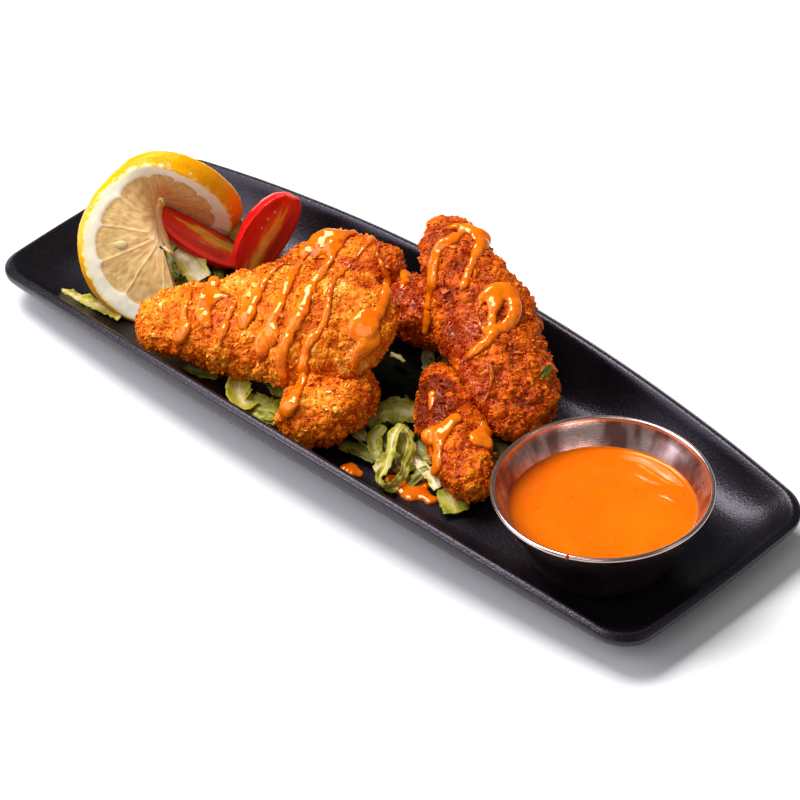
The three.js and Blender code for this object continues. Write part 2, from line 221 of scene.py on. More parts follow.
def remesh(points, faces, voxel, subdivide=0):
    """A clean mesh of quads round a closed shape, with edges of about one voxel."""
    mesh = bpy.data.meshes.new("scratch")
    faces = faces.tolist() if isinstance(faces, np.ndarray) else faces
    mesh.from_pydata((points * MM).tolist(), [], faces)
    scratch = bpy.data.objects.new("scratch", mesh)
    bpy.context.scene.collection.objects.link(scratch)
    voxels = scratch.modifiers.new("voxels", "REMESH")
    voxels.mode = "VOXEL"
    voxels.voxel_size = voxel * MM
    if subdivide:
        finer = scratch.modifiers.new("finer", "SUBSURF")
        finer.levels = finer.render_levels = subdivide
    result = bpy.data.meshes.new_from_object(
        scratch.evaluated_get(bpy.context.evaluated_depsgraph_get()))
    made = arrays(result)
    bpy.data.objects.remove(scratch)
    bpy.data.meshes.remove(mesh)
    bpy.data.meshes.remove(result)
    return made


def relax(points, quads, steps, share=0.6):
    """Evens a surface out by drawing each point towards its neighbours."""
    sides = np.concatenate([quads[:, [k, (k + 1) % 4]] for k in range(4)])
    edges = np.unique(np.sort(sides, axis=1), axis=0)
    a = np.concatenate([edges[:, 0], edges[:, 1]])
    b = np.concatenate([edges[:, 1], edges[:, 0]])
    count = np.maximum(np.bincount(a, minlength=len(points)), 1)
    p = points.copy()
    for _ in range(steps):
        mean = np.stack([np.bincount(a, p[b, k], len(p)) for k in range(3)], 1) / count[:, None]
        p += share * (mean - p)
    return p


def normals_of(points, quads):
    """The outward direction at each point of a mesh of quads."""
    a, b, c, d = (points[quads[:, k]] for k in range(4))
    across = np.cross(c - a, d - b)
    n = np.zeros_like(points)
    for k in range(4):
        for axis in range(3):
            n[:, axis] += np.bincount(quads[:, k], across[:, axis], len(points))
    return unit(n)


def grid_faces(rows, columns, closed=False):
    """Quads of a grid of rows x columns points, closed round the columns if asked."""
    wide = columns if closed else columns - 1
    i = np.arange(rows - 1)[:, None]
    j = np.arange(wide)[None, :]
    nxt = (j + 1) % columns
    a, b = i * columns + j, i * columns + nxt
    c, d = (i + 1) * columns + nxt, (i + 1) * columns + j
    return np.stack([a, b, c, d], -1).reshape(-1, 4)


def tube_faces(rows, columns):
    """Faces of a tube of rows x columns points with both its ends closed."""
    faces = grid_faces(rows, columns, True).tolist()
    faces.append(list(range(columns)))
    faces.append([(rows - 1) * columns + j for j in reversed(range(columns))])
    return faces


def merge(parts):
    """Joins (points, faces) pairs, whose faces are an array or a list of lists, into one pair."""
    points, faces, start = [], [], 0
    for p, f in parts:
        points.append(np.asarray(p, float))
        if isinstance(f, np.ndarray):
            faces += (f + start).tolist()
        else:
            faces += [[i + start for i in face] for face in f]
        start += len(p)
    return np.vstack(points), faces


# ------------------------------------------------------------------ node materials


class Look:
    """A node material round one Principled shader."""

    def __init__(self, name, **settings):
        """Starts the material with a shader and its fixed values."""
        self.material = bpy.data.materials.new(name)
        self.material.use_nodes = True
        self.tree = self.material.node_tree
        self.tree.nodes.clear()
        out = self.tree.nodes.new("ShaderNodeOutputMaterial")
        self.shader = self.tree.nodes.new("ShaderNodeBsdfPrincipled")
        self.tree.links.new(self.shader.outputs[0], out.inputs[0])
        self.set(**{"Specular IOR Level": 0.5, **settings})

    def set(self, **settings):
        """Sets the shader's own values, or links them to nodes."""
        for key, value in settings.items():
            self.feed(self.shader.inputs[key], value)

    def feed(self, socket, value):
        """Links a node's output to a socket, or sets the socket's value."""
        if isinstance(value, bpy.types.NodeSocket):
            self.tree.links.new(value, socket)
        elif isinstance(value, (tuple, list)) and len(value) == 3 and socket.type == "RGBA":
            socket.default_value = (*value, 1)
        else:
            socket.default_value = value

    def node(self, kind, inputs=(), out=0, **settings):
        """An output of a new node."""
        node = self.tree.nodes.new(kind)
        for key, value in settings.items():
            setattr(node, key, value)
        for key, value in dict(inputs).items():
            self.feed(node.inputs[key], value)
        return node.outputs[out]

    def place(self, scale=(1, 1, 1)):
        """Where a point is, in metres, stretched if asked."""
        where = self.node("ShaderNodeTexCoord", out="Object")
        return self.node("ShaderNodeMapping", {"Vector": where, "Scale": scale})

    def noise(self, size_mm, detail=2, rough=0.5, distortion=0.0, vector=None):
        """Noise from 0 to 1 with features of about a size. It is mostly from 0.3 to 0.7."""
        return self.node("ShaderNodeTexNoise", {
            "Vector": vector or self.place(), "Scale": 1 / (size_mm * MM),
            "Detail": detail, "Roughness": rough, "Distortion": distortion})

    def voronoi(self, size_mm, out="Distance"):
        """How far the middle of the nearest cell is, or the cell's own colour."""
        return self.node("ShaderNodeTexVoronoi", {
            "Vector": self.place(), "Scale": 1 / (size_mm * MM)}, out)

    def mark(self, name):
        """The values that build() put on the mesh under a name."""
        return self.node("ShaderNodeAttribute", out="Fac", attribute_name=name)

    def vector(self, x, y, z=0.0):
        """A place made of three values."""
        return self.node("ShaderNodeCombineXYZ", {"X": x, "Y": y, "Z": z})

    def fibres(self, vector, scale):
        """Noise in a place made of marks, for things that run out from a middle or along a leaf."""
        return self.node("ShaderNodeTexNoise", {
            "Vector": vector, "Scale": scale, "Detail": 3, "Roughness": 0.6})

    def math(self, operation, a, b):
        """The result of an operation on two values."""
        return self.node("ShaderNodeMath", {0: a, 1: b}, operation=operation)

    def plus(self, a, b):
        return self.math("ADD", a, b)

    def minus(self, a, b):
        return self.math("SUBTRACT", a, b)

    def times(self, a, b):
        return self.math("MULTIPLY", a, b)

    def fit(self, value, low, high, to_low=0.0, to_high=1.0):
        """The value, with low to high stretched to another range and cut off there."""
        return self.node("ShaderNodeMapRange", {
            "Value": value, "From Min": low, "From Max": high,
            "To Min": to_low, "To Max": to_high})

    def swing(self, noise, to_low=0.0, to_high=1.0):
        """A noise, with its usual span stretched to another range."""
        return self.fit(noise, 0.3, 0.7, to_low, to_high)

    def ramp(self, value, stops):
        """The colour at a value, from stops of (value, colour)."""
        node = self.tree.nodes.new("ShaderNodeValToRGB")
        self.feed(node.inputs[0], value)
        ramp = node.color_ramp
        while len(ramp.elements) < len(stops):
            ramp.elements.new(0.5)
        for element, (at, colour) in zip(ramp.elements, stops):
            element.position = at
            element.color = (*colour, 1)
        return node.outputs[0]

    def mix(self, share, a, b, blend="MIX"):
        """Colour a turned into colour b by a share, or blended with it."""
        node = self.tree.nodes.new("ShaderNodeMix")
        node.data_type = "RGBA"
        node.blend_type = blend
        for index, value in ((0, share), (6, a), (7, b)):
            self.feed(node.inputs[index], value)
        return node.outputs[2]

    def bump(self, height, strength, depth_mm):
        """Relief from a height, for the shader's normal."""
        return self.node("ShaderNodeBump", {
            "Height": height, "Strength": strength, "Distance": depth_mm * MM})


def srgb(r, g, b):
    """A display colour, 0 to 255, as linear light."""
    def one(v):
        v /= 255
        return v / 12.92 if v <= 0.04045 else ((v + 0.055) / 1.055) ** 2.4
    return (one(r), one(g), one(b))


# ------------------------------------------------------------------ plate

PLATE_LENGTH, PLATE_END_WIDTH = 285.0, 88.8
PLATE_SIDE_BOW, PLATE_END_BOW, PLATE_CORNER = 8.6, 1.4, 10.5
RIM_AT_CORNER, RIM_RISE, FLOOR = 14.0, 10.1, 6.0
EDGE_AT_CORNER, EDGE_RISE = 3.8, 2.8
SIDE_STEPS, END_STEPS, CORNER_STEPS = 72, 26, 14
# The inner wall: how far inside the rim, and the share of the wall's height there.
WALL_INSETS, WALL_SHARES = (0, 5.4, 7.8, 10.8, 14.4, 19), (1, 0.7, 0.44, 0.22, 0.07, 0)
FLOOR_INSET = 23
# How many rows of points the plate's surface has for each ring that is given.
FINER = 4


def plate_outline(inset):
    """Points round the plate at a distance inside its rim, and their place along it."""
    hx, hy = PLATE_LENGTH / 2 - inset, PLATE_END_WIDTH / 2 - inset
    r = max(PLATE_CORNER - inset * 0.2, 5)
    ix, iy = hx - r, hy - r
    # Each side's begin and end, then the middle and the first angle of the corner after it.
    sides = [
        ((-ix, -hy), (ix, -hy), (ix, -iy, -90), SIDE_STEPS),
        ((hx, -iy), (hx, iy), (ix, iy, 0), END_STEPS),
        ((ix, hy), (-ix, hy), (-ix, iy, 90), SIDE_STEPS),
        ((-hx, iy), (-hx, -iy), (-ix, -iy, 180), END_STEPS),
    ]
    points = []
    for begin, end, (x, y, start), steps in sides:
        t = np.arange(steps)[:, None] / steps
        points.append((1 - t) * begin + t * end)
        turn = np.radians(start + 90 * np.arange(CORNER_STEPS) / CORNER_STEPS)
        points.append(np.stack([x + r * np.cos(turn), y + r * np.sin(turn)], 1))
    p = np.vstack(points)
    u, v = p[:, 0] / hx, p[:, 1] / hy
    x = p[:, 0] + PLATE_END_BOW * (1 - v * v) * u
    y = p[:, 1] + PLATE_SIDE_BOW * (1 - u * u) * v
    return x, y, u


def plate_ring(inset, height):
    """Points round the plate, at a height worked out from its rim and its outer band."""
    x, y, u = plate_outline(inset)
    rim = RIM_AT_CORNER + RIM_RISE * (1 - u * u)
    band = EDGE_AT_CORNER + EDGE_RISE * (1 - u * u)
    return np.stack([x, y, height(rim, band) + 0 * x], 1)


def trough_height(x, y):
    """Rough height of the plate's inner surface."""
    u = np.clip(x / (PLATE_LENGTH / 2), -1, 1)
    v = np.clip(np.abs(y) / (PLATE_END_WIDTH / 2 + PLATE_SIDE_BOW * (1 - u * u)), 0, 1)
    inset = np.minimum((1 - v) * (PLATE_END_WIDTH / 2 + 6), (1 - np.abs(u)) * PLATE_LENGTH / 2)
    share = np.interp(inset, WALL_INSETS, WALL_SHARES)
    return FLOOR + share * (RIM_AT_CORNER + RIM_RISE * (1 - u * u) - FLOOR)


def make_plate(look):
    """The glazed plate, from rings of points round it."""
    # From the foot up the outside and over the lip: the inset, and the height worked out
    # from the rim's height and the height of the outer band.
    outside = [
        (21.5, lambda rim, band: 0), (20.9, lambda rim, band: 0.35), (20.3, lambda rim, band: 1.2),
        (11, lambda rim, band: 1.6 + (rim - band) * 0.38), (3.2, lambda rim, band: rim - band - 1.9),
        (0.5, lambda rim, band: rim - band + 0.6), (0, lambda rim, band: rim - 1.2),
        (0.5, lambda rim, band: rim - 0.35), (2.0, lambda rim, band: rim + 0.4),
        (3.6, lambda rim, band: rim - 0.8),
    ]
    rings = [plate_ring(*place) for place in outside]
    for inset, share in [*zip(WALL_INSETS[1:], WALL_SHARES[1:]), (FLOOR_INSET, 0)]:
        rings.append(plate_ring(inset, lambda rim, band, s=share: FLOOR + s * (rim - FLOOR)))
    count = (len(rings) - 1) * FINER + 1
    stack = spline(np.array(rings).reshape(len(rings), -1), count).reshape(count, -1, 3)
    stack[-1 - FINER:, :, 2] = FLOOR
    stack[0, :, 2] = 0
    columns = stack.shape[1]
    # The sides aren't quite even. The foot and the floor are.
    sway = 0.25 * fbm(stack.reshape(-1, 3), 55, 2, 3).reshape(count, columns)
    stack[FINER:-1 - 2 * FINER, :, 2] += sway[FINER:-1 - 2 * FINER]
    # The floor and the underside close in to a narrow strip down the middle.
    rows = list(stack)
    for share in (0.66, 0.33, 0.02):
        rows.append(stack[-1] * (1 - 0.15 * (1 - share), share, 1))
        rows.insert(0, stack[0] * (1 - 0.15 * (1 - share), share, 0))
    points, faces = np.vstack(rows), tube_faces(len(rows), columns)
    build("plate_glazed", points, faces, look, replaced=["plate"])


# ------------------------------------------------------------------ cup and dip

CUP = np.array([101.2, -9.0, FLOOR + 0.35])
CUP_HEIGHT, CUP_RIM, CUP_BASE, CUP_SHEET, CUP_BEAD, CUP_ROLL = 26.8, 35.0, 23.0, 0.9, 1.3, 0.8
DIP_BELOW_RIM = 9.4
CUP_SIDES, DIP_SIDES, DIP_RINGS = 160, 240, 70
# How far the dip climbs the wall.
DIP_CLIMB = 0.75


def lathe(profile, centre, sides):
    """Points and faces of (radius, height) pairs turned round an upright axis."""
    profile = np.asarray(profile, float)
    turn = 2 * math.pi * np.arange(sides) / sides
    ring = np.stack([np.cos(turn), np.sin(turn)], 1)
    points = np.zeros((len(profile), sides, 3))
    points[:, :, :2] = profile[:, 0, None, None] * ring
    points[:, :, 2] = profile[:, 1, None]
    return points.reshape(-1, 3) + centre, grid_faces(len(profile), sides, True)


def inner_radius(z):
    """Radius of the cup's inner wall at a height over the cup's underside."""
    low, high = 2.4, CUP_HEIGHT - CUP_BEAD - 3
    share = (z - low) / (high - low)
    return (CUP_BASE - CUP_SHEET) * (1 - share) + (CUP_RIM - CUP_BEAD - 1.2 - CUP_SHEET) * share


def make_cup(look):
    """The steel cup, turned from a profile that goes up the outside and down the inside."""
    rim = CUP_HEIGHT - CUP_ROLL
    wall = CUP_RIM - CUP_ROLL
    bead = [(wall + CUP_ROLL * math.cos(t), rim + CUP_ROLL * math.sin(t))
            for t in np.radians(np.linspace(-75, 178, 18))]
    outer = [(0.02, 0.25), (18.5, 0.25), (19.4, 0), (20.9, 0), (22.3, 0.5), (23.1, 1.8)]
    outer += [(23.1 + (wall - 1.2 - 23.1) * t, 1.8 + (rim - 3.6 - 1.8) * t) for t in (0.25, 0.5, 0.75, 1)]
    outer += [(wall - 0.9, rim - 2.2), (wall - 0.2, rim - 0.95)]
    inner = [(wall - 0.95, rim - 0.9), (inner_radius(rim - 3), rim - 3)]
    inner += [(inner_radius(z), z) for z in (18, 13, 8, 4)]
    inner += [(21.6, 2.2), (20.8, 1.35), (19.6, 1.0), (10, 0.9), (0.02, 0.9)]
    points, faces = lathe(outer + bead + inner, CUP, CUP_SIDES)
    flat = (points - CUP)[:, :2]
    outward = (normals_of(points, faces)[:, :2] * flat).sum(1)
    outward /= np.maximum(np.linalg.norm(flat, axis=1), 1)
    inside = smoothstep(-outward, 0.2, 0.8) * (points[:, 2] < CUP[2] + rim - 0.8)
    # Painted shade on the inside wall, where it is seen side-on at the left and right.
    flank_shade = smoothstep(np.abs((points - CUP) @ RIGHT) / CUP_RIM, 0.35, 0.95)
    marks = {"inside": inside, "flank_shade": flank_shade * inside}
    build("cup_steel", points, faces, look, marks=marks, replaced=["sauce_cup"])


# Ripples left by the spoon: pixels of the photo along each, with its height in mm.
RIPPLES = [
    (0.5, [(628, 459), (642, 464), (655, 473), (668, 481), (682, 487)]),
    (0.42, [(634, 476), (648, 484), (660, 487)]),
    (0.4, [(654, 496), (664, 500), (676, 507)]),
    (0.3, [(648, 452), (662, 459), (672, 468)]),
    (0.22, [(548, 470), (566, 463), (584, 461)]),
]
RIPPLE_WIDTH = 0.9


def dip_ripples(points):
    """How far the ripples lift the dip at each point."""
    level = points[0, 2]
    height = np.zeros(len(points))
    for tall, pixels in RIPPLES:
        line = spline(np.array([at_height(x, y, level) for x, y in pixels]), 16)
        far = np.full(len(points), 1e9)
        share = np.zeros(len(points))
        for k, p in enumerate(line):
            away = np.linalg.norm(points[:, :2] - p[:2], axis=1)
            share = np.where(away < far, math.sin(math.pi * (k + 0.5) / len(line)), share)
            far = np.minimum(far, away)
        height += tall * share**0.5 * np.exp(-((far / RIPPLE_WIDTH) ** 2) / 2)
    return height


def make_dip(look):
    """The dip in the cup, with its ripples."""
    level = CUP_HEIGHT - DIP_BELOW_RIM
    edge = inner_radius(level + 0.5) + 0.12
    radii = edge * (1 - (1 - np.linspace(0, 1, DIP_RINGS)) ** 1.25)
    radii[0] = 0.02
    points, faces = lathe([(r, level) for r in radii], CUP, DIP_SIDES)
    from_wall = edge - np.linalg.norm(points[:, :2] - CUP[:2], axis=1)
    flat = points * (1, 1, 0)
    x, y, zero = flat.T
    lean = np.stack([x * 0.72 + y * 0.35, y * 1.3 - x * 0.5, zero], 1)
    swell = 0.42 * fbm(lean, 17, 2, 5) + 0.07 * fbm(flat, 4.5, 2, 9)
    points[:, 2] += (swell + dip_ripples(points)) * smoothstep(from_wall, 0, 5)
    # It climbs a little way up the steel, and its sides reach just into the wall.
    points[:, 2] += DIP_CLIMB * np.exp(-from_wall / 0.7)
    skirt = [(edge, level + DIP_CLIMB), (inner_radius(10) + 0.1, 10), (inner_radius(3) + 0.1, 3),
             (18, 1.3), (0.02, 1.3)]
    merged, all_faces = merge([(points, faces), lathe(skirt, CUP, DIP_SIDES)])
    # The dip is painted darker where it meets the wall, most of all on the left as the camera sees it: a
    # painted shade of the wall.
    away = merged - CUP
    near_wall = np.exp(-np.clip(edge - np.linalg.norm(away[:, :2], axis=1), 0, 99) / 4.5)
    shade = near_wall * (0.25 + 0.75 * smoothstep(-(away @ RIGHT) / edge, -0.1, 0.9))
    build("dip", merged, all_faces, look, marks={"shade": shade}, replaced=["dip_sauce"])


# ------------------------------------------------------------------ breaded crust

# How dark the crust of each piece is in the photo: partly a deeper fry and partly painted shade on the
# pieces that get less light.
FINGERS = {
    "finger_front": 0.0, "finger_right": 0.66, "finger_back": 0.3, "finger_middle": 0.85,
    "finger_low_front": 0.1, "finger_low_right": 0.4,
}
CRUST_VOXEL = 1.0
CRUMBS_PER_MM2, BIG_SHARE = 1.3, 0.16
# The sizes of the crust's clumps, crumbs and grit in millimetres.
CLUMP_SIZE, CRUMB_SIZE, GRIT_SIZE = 4.6, 1.25, 0.95
# A small sharp crumb: a triangle with a point over it and one under it.
SHARD_POINTS = np.array([(1, 0, 0), (-0.5, 0.87, 0), (-0.5, -0.87, 0), (0, 0, 1), (0, 0, -1)])
SHARD_FACES = np.array([(0, 1, 3), (1, 2, 3), (2, 0, 3), (1, 0, 4), (2, 1, 4), (0, 2, 4)])


def chunk_shape():
    """A rough ball of twenty faces."""
    bm = bmesh.new()
    bmesh.ops.create_icosphere(bm, subdivisions=1, radius=1)
    points = np.array([v.co for v in bm.verts])
    faces = np.array([[v.index for v in f.verts] for f in bm.faces])
    bm.free()
    return points, faces


def crust_surface(node, seed):
    """The node's shape with the lumps, clumps and crumbs of a fried crust."""
    points, quads = remesh(*node_mesh(node), CRUST_VOXEL)
    points = relax(points, quads, 14)
    n = normals_of(points, quads)
    lumps = 1.6 * fbm(points + 100 * seed, 11, 2, seed) + 0.8 * fbm(points, 5.2, 2, seed + 60)
    points += n * (lumps + 0.3)[:, None]
    points, quads = remesh(points, quads, CRUST_VOXEL, 1)
    n = normals_of(points, quads)
    warp = np.stack([noise(points, 2.2, seed + k) for k in (1, 2, 3)], 1)
    clump, _, clump_value, _ = cells(points + 0.8 * warp, CLUMP_SIZE, seed)
    crumb, crumb_gap, crumb_value, lean = cells(points + 0.4 * warp, CRUMB_SIZE, seed + 20)
    grit, _, grit_value, _ = cells(points, GRIT_SIZE, seed + 40)
    facing = unit(np.stack([crumb_value * 7 % 1, crumb_value * 31 % 1, crumb_value * 57 % 1], 1) - 0.5)
    tilt = (lean * facing).sum(1)
    height = 2.0 * (0.55 - clump) + 1.0 * (clump_value - 0.5)
    height += 0.5 * (crumb_value - 0.45) * smoothstep(crumb_gap, 0.0, 0.22)
    height += 0.4 * tilt + 0.2 * (0.5 - crumb)
    height += 0.3 * (0.45 - grit) + 0.16 * (grit_value - 0.5)
    # The tone is lighter on raised crumbs and darker in the hollows, partly the crust's own browning and
    # partly painted shade; each crumb also gets a random tone.
    tone = np.clip(0.53 + 0.17 * height + 0.22 * (crumb_value - 0.5), 0, 1)
    return points + n * height[:, None] * 0.85, quads, tone, n


def crumbs_on(points, quads, normals, rng, chunk):
    """Loose-edged crumbs set in the surface, most of them small."""
    a, b, c, d = (points[quads[:, k]] for k in range(4))
    area = 0.5 * np.linalg.norm(np.cross(c - a, d - b), axis=1)
    count = int(area.sum() * CRUMBS_PER_MM2)
    chosen = rng.choice(len(quads), count, p=area / area.sum())
    s, t = rng.random((2, count, 1))
    where = (a[chosen] * (1 - s) + b[chosen] * s) * (1 - t) + (d[chosen] * (1 - s) + c[chosen] * s) * t
    outward = unit(normals[quads[chosen]].mean(1))
    kept = outward[:, 2] > rng.uniform(-0.9, -0.2, count)
    where, outward, count = where[kept], outward[kept], int(kept.sum())
    parts, tones = [], []
    big = rng.random(count) < BIG_SHARE
    for large, (shape, faces) in ((False, (SHARD_POINTS, SHARD_FACES)), (True, chunk)):
        ids = np.flatnonzero(big == large)
        m = len(ids)
        lean = unit(outward[ids] + rng.normal(0, 0.55, (m, 3)))
        first = unit(np.cross(lean, rng.normal(0, 1, (m, 3))))
        second = np.cross(lean, first)
        long = rng.lognormal(0, 0.3, m) * (0.58 if large else 0.46)
        long = long * np.where(rng.random(m) < 0.25, 1.6, 1.0)
        wide = long * rng.uniform(0.3, 0.7, m)
        thick = long * rng.uniform(0.25, 0.55, m)
        body = shape[None] * (1 + rng.normal(0, 0.2, (m, len(shape), 1)))
        body = body + rng.normal(0, 0.12, (m, len(shape), 3))
        p = (body[:, :, 0, None] * (first * long[:, None])[:, None]
             + body[:, :, 1, None] * (second * wide[:, None])[:, None]
             + body[:, :, 2, None] * (lean * thick[:, None])[:, None])
        p += (where[ids] + outward[ids] * (thick * rng.uniform(-0.35, 0.75, m))[:, None])[:, None]
        f = faces[None] + (np.arange(m) * len(shape))[:, None, None]
        parts.append((p.reshape(-1, 3), f.reshape(-1, 3)))
        shade = rng.beta(2.6, 2.2, m) * 0.6 + 0.28
        tones.append((shade[:, None] + 0.12 * body[:, :, 2]).reshape(-1))
    return parts, np.concatenate(tones)


# Where sauce has soaked into the crust: pixels of the photo with a radius in millimetres
# and a strength.
SOAKED = [
    (404, 285, 7, 0.9), (420, 262, 4, 0.7), (418, 300, 6, 0.8), (400, 320, 5, 0.6),
    (395, 290, 5, 0.7), (415, 335, 6, 0.7), (430, 395, 6, 0.45), (440, 415, 7, 0.6),
    (462, 345, 6, 0.9), (455, 325, 6, 0.8), (448, 300, 5, 0.5), (470, 375, 7, 1.0),
    (480, 400, 7, 1.0), (492, 375, 5, 0.8), (488, 425, 5, 0.9), (468, 395, 6, 0.9),
    (476, 300, 5, 0.7), (473, 330, 6, 0.8), (448, 240, 4, 0.6), (452, 268, 4, 0.5),
    (466, 250, 5, 0.6), (340, 240, 5, 0.7), (372, 242, 4, 0.6), (365, 285, 4, 0.5),
    (345, 265, 4, 0.5), (385, 265, 5, 0.6), (265, 350, 4, 0.5), (360, 345, 5, 0.6),
    (352, 372, 4, 0.3), (365, 400, 5, 0.4), (300, 420, 4, 0.4), (220, 312, 6, 0.35),
    (410, 350, 6, 0.6), (440, 455, 4, 0.6), (476, 440, 6, 0.7),
]

# Where the crust is darker, or lighter if negative: as above. The darker spots are mostly painted shade,
# down between the pieces and on their shaded sides.
DARKER = [
    (432, 385, 9, 0.62), (424, 360, 8, 0.5), (440, 405, 7, 0.5), (425, 420, 7, 0.4),
    (403, 338, 5, 0.25), (400, 298, 7, 0.1), (440, 238, 9, 0.22),
    (463, 262, 7, 0.18), (545, 330, 6, 0.10), (530, 400, 8, 0.10), (455, 300, 8, 0.15),
    (450, 350, 9, 0.15),
    (358, 374, 7, -0.11), (350, 355, 6, -0.12), (352, 412, 5, 0.12), (180, 355, 9, 0.10),
    (240, 352, 8, 0.10), (318, 400, 9, -0.1),
    (338, 290, 7, -0.16), (160, 300, 8, -0.10), (235, 285, 7, -0.12), (270, 320, 5, -0.10),
    (345, 325, 6, -0.14),
    (470, 465, 8, -0.10), (318, 425, 7, -0.08), (378, 262, 6, 0.12), (352, 250, 5, -0.10),
]


def search_tree(parts):
    """A tree of (points, faces) pairs, to find what a ray hits or what is nearest."""
    points, faces = merge(parts)
    return BVHTree.FromPolygons(points.tolist(), faces)


def seen_at(tree, x, y):
    """The point and the outward direction of the surface that shows at a pixel."""
    d = photo_ray(x, y)
    hit = tree.ray_cast(Vector(EYE), Vector(d), 3000)
    if hit[0] is None:
        return None
    n = np.array(hit[1])
    return np.array(hit[0]), n if n @ d < 0 else -n


def make_fingers(look):
    """The crust of every piece of chicken. Returns a tree of their surfaces."""
    rng = np.random.default_rng(7)
    chunk = chunk_shape()
    made = {node: crust_surface(node, i + 1) for i, node in enumerate(FINGERS)}
    tree = search_tree(m[:2] for m in made.values())
    spots = []
    for soaked, places in ((True, SOAKED), (False, DARKER)):
        for x, y, radius, strength in places:
            hit = seen_at(tree, x, y)
            if hit:
                spots.append((soaked, hit[0], radius, strength))
    for node, (points, quads, tone, normals) in made.items():
        parts, shades = crumbs_on(points, quads, normals, rng, chunk)
        everything, faces = merge([(points, quads), *parts])
        tones = np.concatenate([tone, shades])
        wet = np.zeros(len(everything))
        reach = 1 + 0.45 * noise(everything, 3.0, 77)
        # Painted shade: the crust is darkened for each piece as listed, partly also for a deeper fry, and
        # darker low down, where less light gets in between the pieces.
        deep = FINGERS[node] * 0.3 + smoothstep(30 - everything[:, 2], 0, 24) * 0.16
        for soaked, centre, radius, strength in spots:
            far = np.linalg.norm(everything - centre, axis=1) / (radius * reach)
            if soaked:
                wet = np.maximum(wet, strength * (1 - smoothstep(far, 0.55, 1.05)))
            else:
                # Painted shade from the darker spots; the negative ones lighten the crust.
                deep = deep + strength * (1 - smoothstep(far, 0.3, 1.2))
        smooth = np.arange(len(faces)) < len(quads)
        build(node + "_crust", everything, faces, look, smooth,
              marks={"tone": tones, "wet": wet, "deep": deep}, replaced=[node])
    return tree


# A scrap of green herb caught on the crust: pixels of the photo along it.
HERB_PIXELS = [(540, 377), (545, 372), (550, 367)]


def make_herb(tree, look):
    """The scrap of herb, as a small leaf just over the crust."""
    rng = np.random.default_rng(3)
    path = [seen_at(tree, x, y) or (at_height(x, y, 22), BACKWARD) for x, y in HERB_PIXELS]
    line = np.array([p + 0.8 * BACKWARD + 0.4 * n for p, n in path])
    points, faces, marks = leaf(line, [1.6, 3.0, 1.8], BACKWARD, rng, 0.5, 0.3, 0.25, 0.3)
    for key, value in (("green", 0.95), ("dim", 0.1), ("tint", 0.5)):
        marks[key] = np.full(len(points), value)
    build("herb_scrap", points, faces, look, marks=marks)


# ------------------------------------------------------------------ sauce on the food

PIXELS_PER_MM = 3.03
# Each line is a row of flattened balls: how much wider they are than the line looks, how
# uneven, their least radius in mm, how far apart they are, and over how many their depth
# and direction are evened out.
BALL_EXTRA, BALL_UNEVEN, BALL_LEAST = 1.32, 0.13, 0.55
BALL_GAP_PIXELS, BALL_REACH = 1.3, 4
BEADS, PUDDLE_BALLS = 60, 14

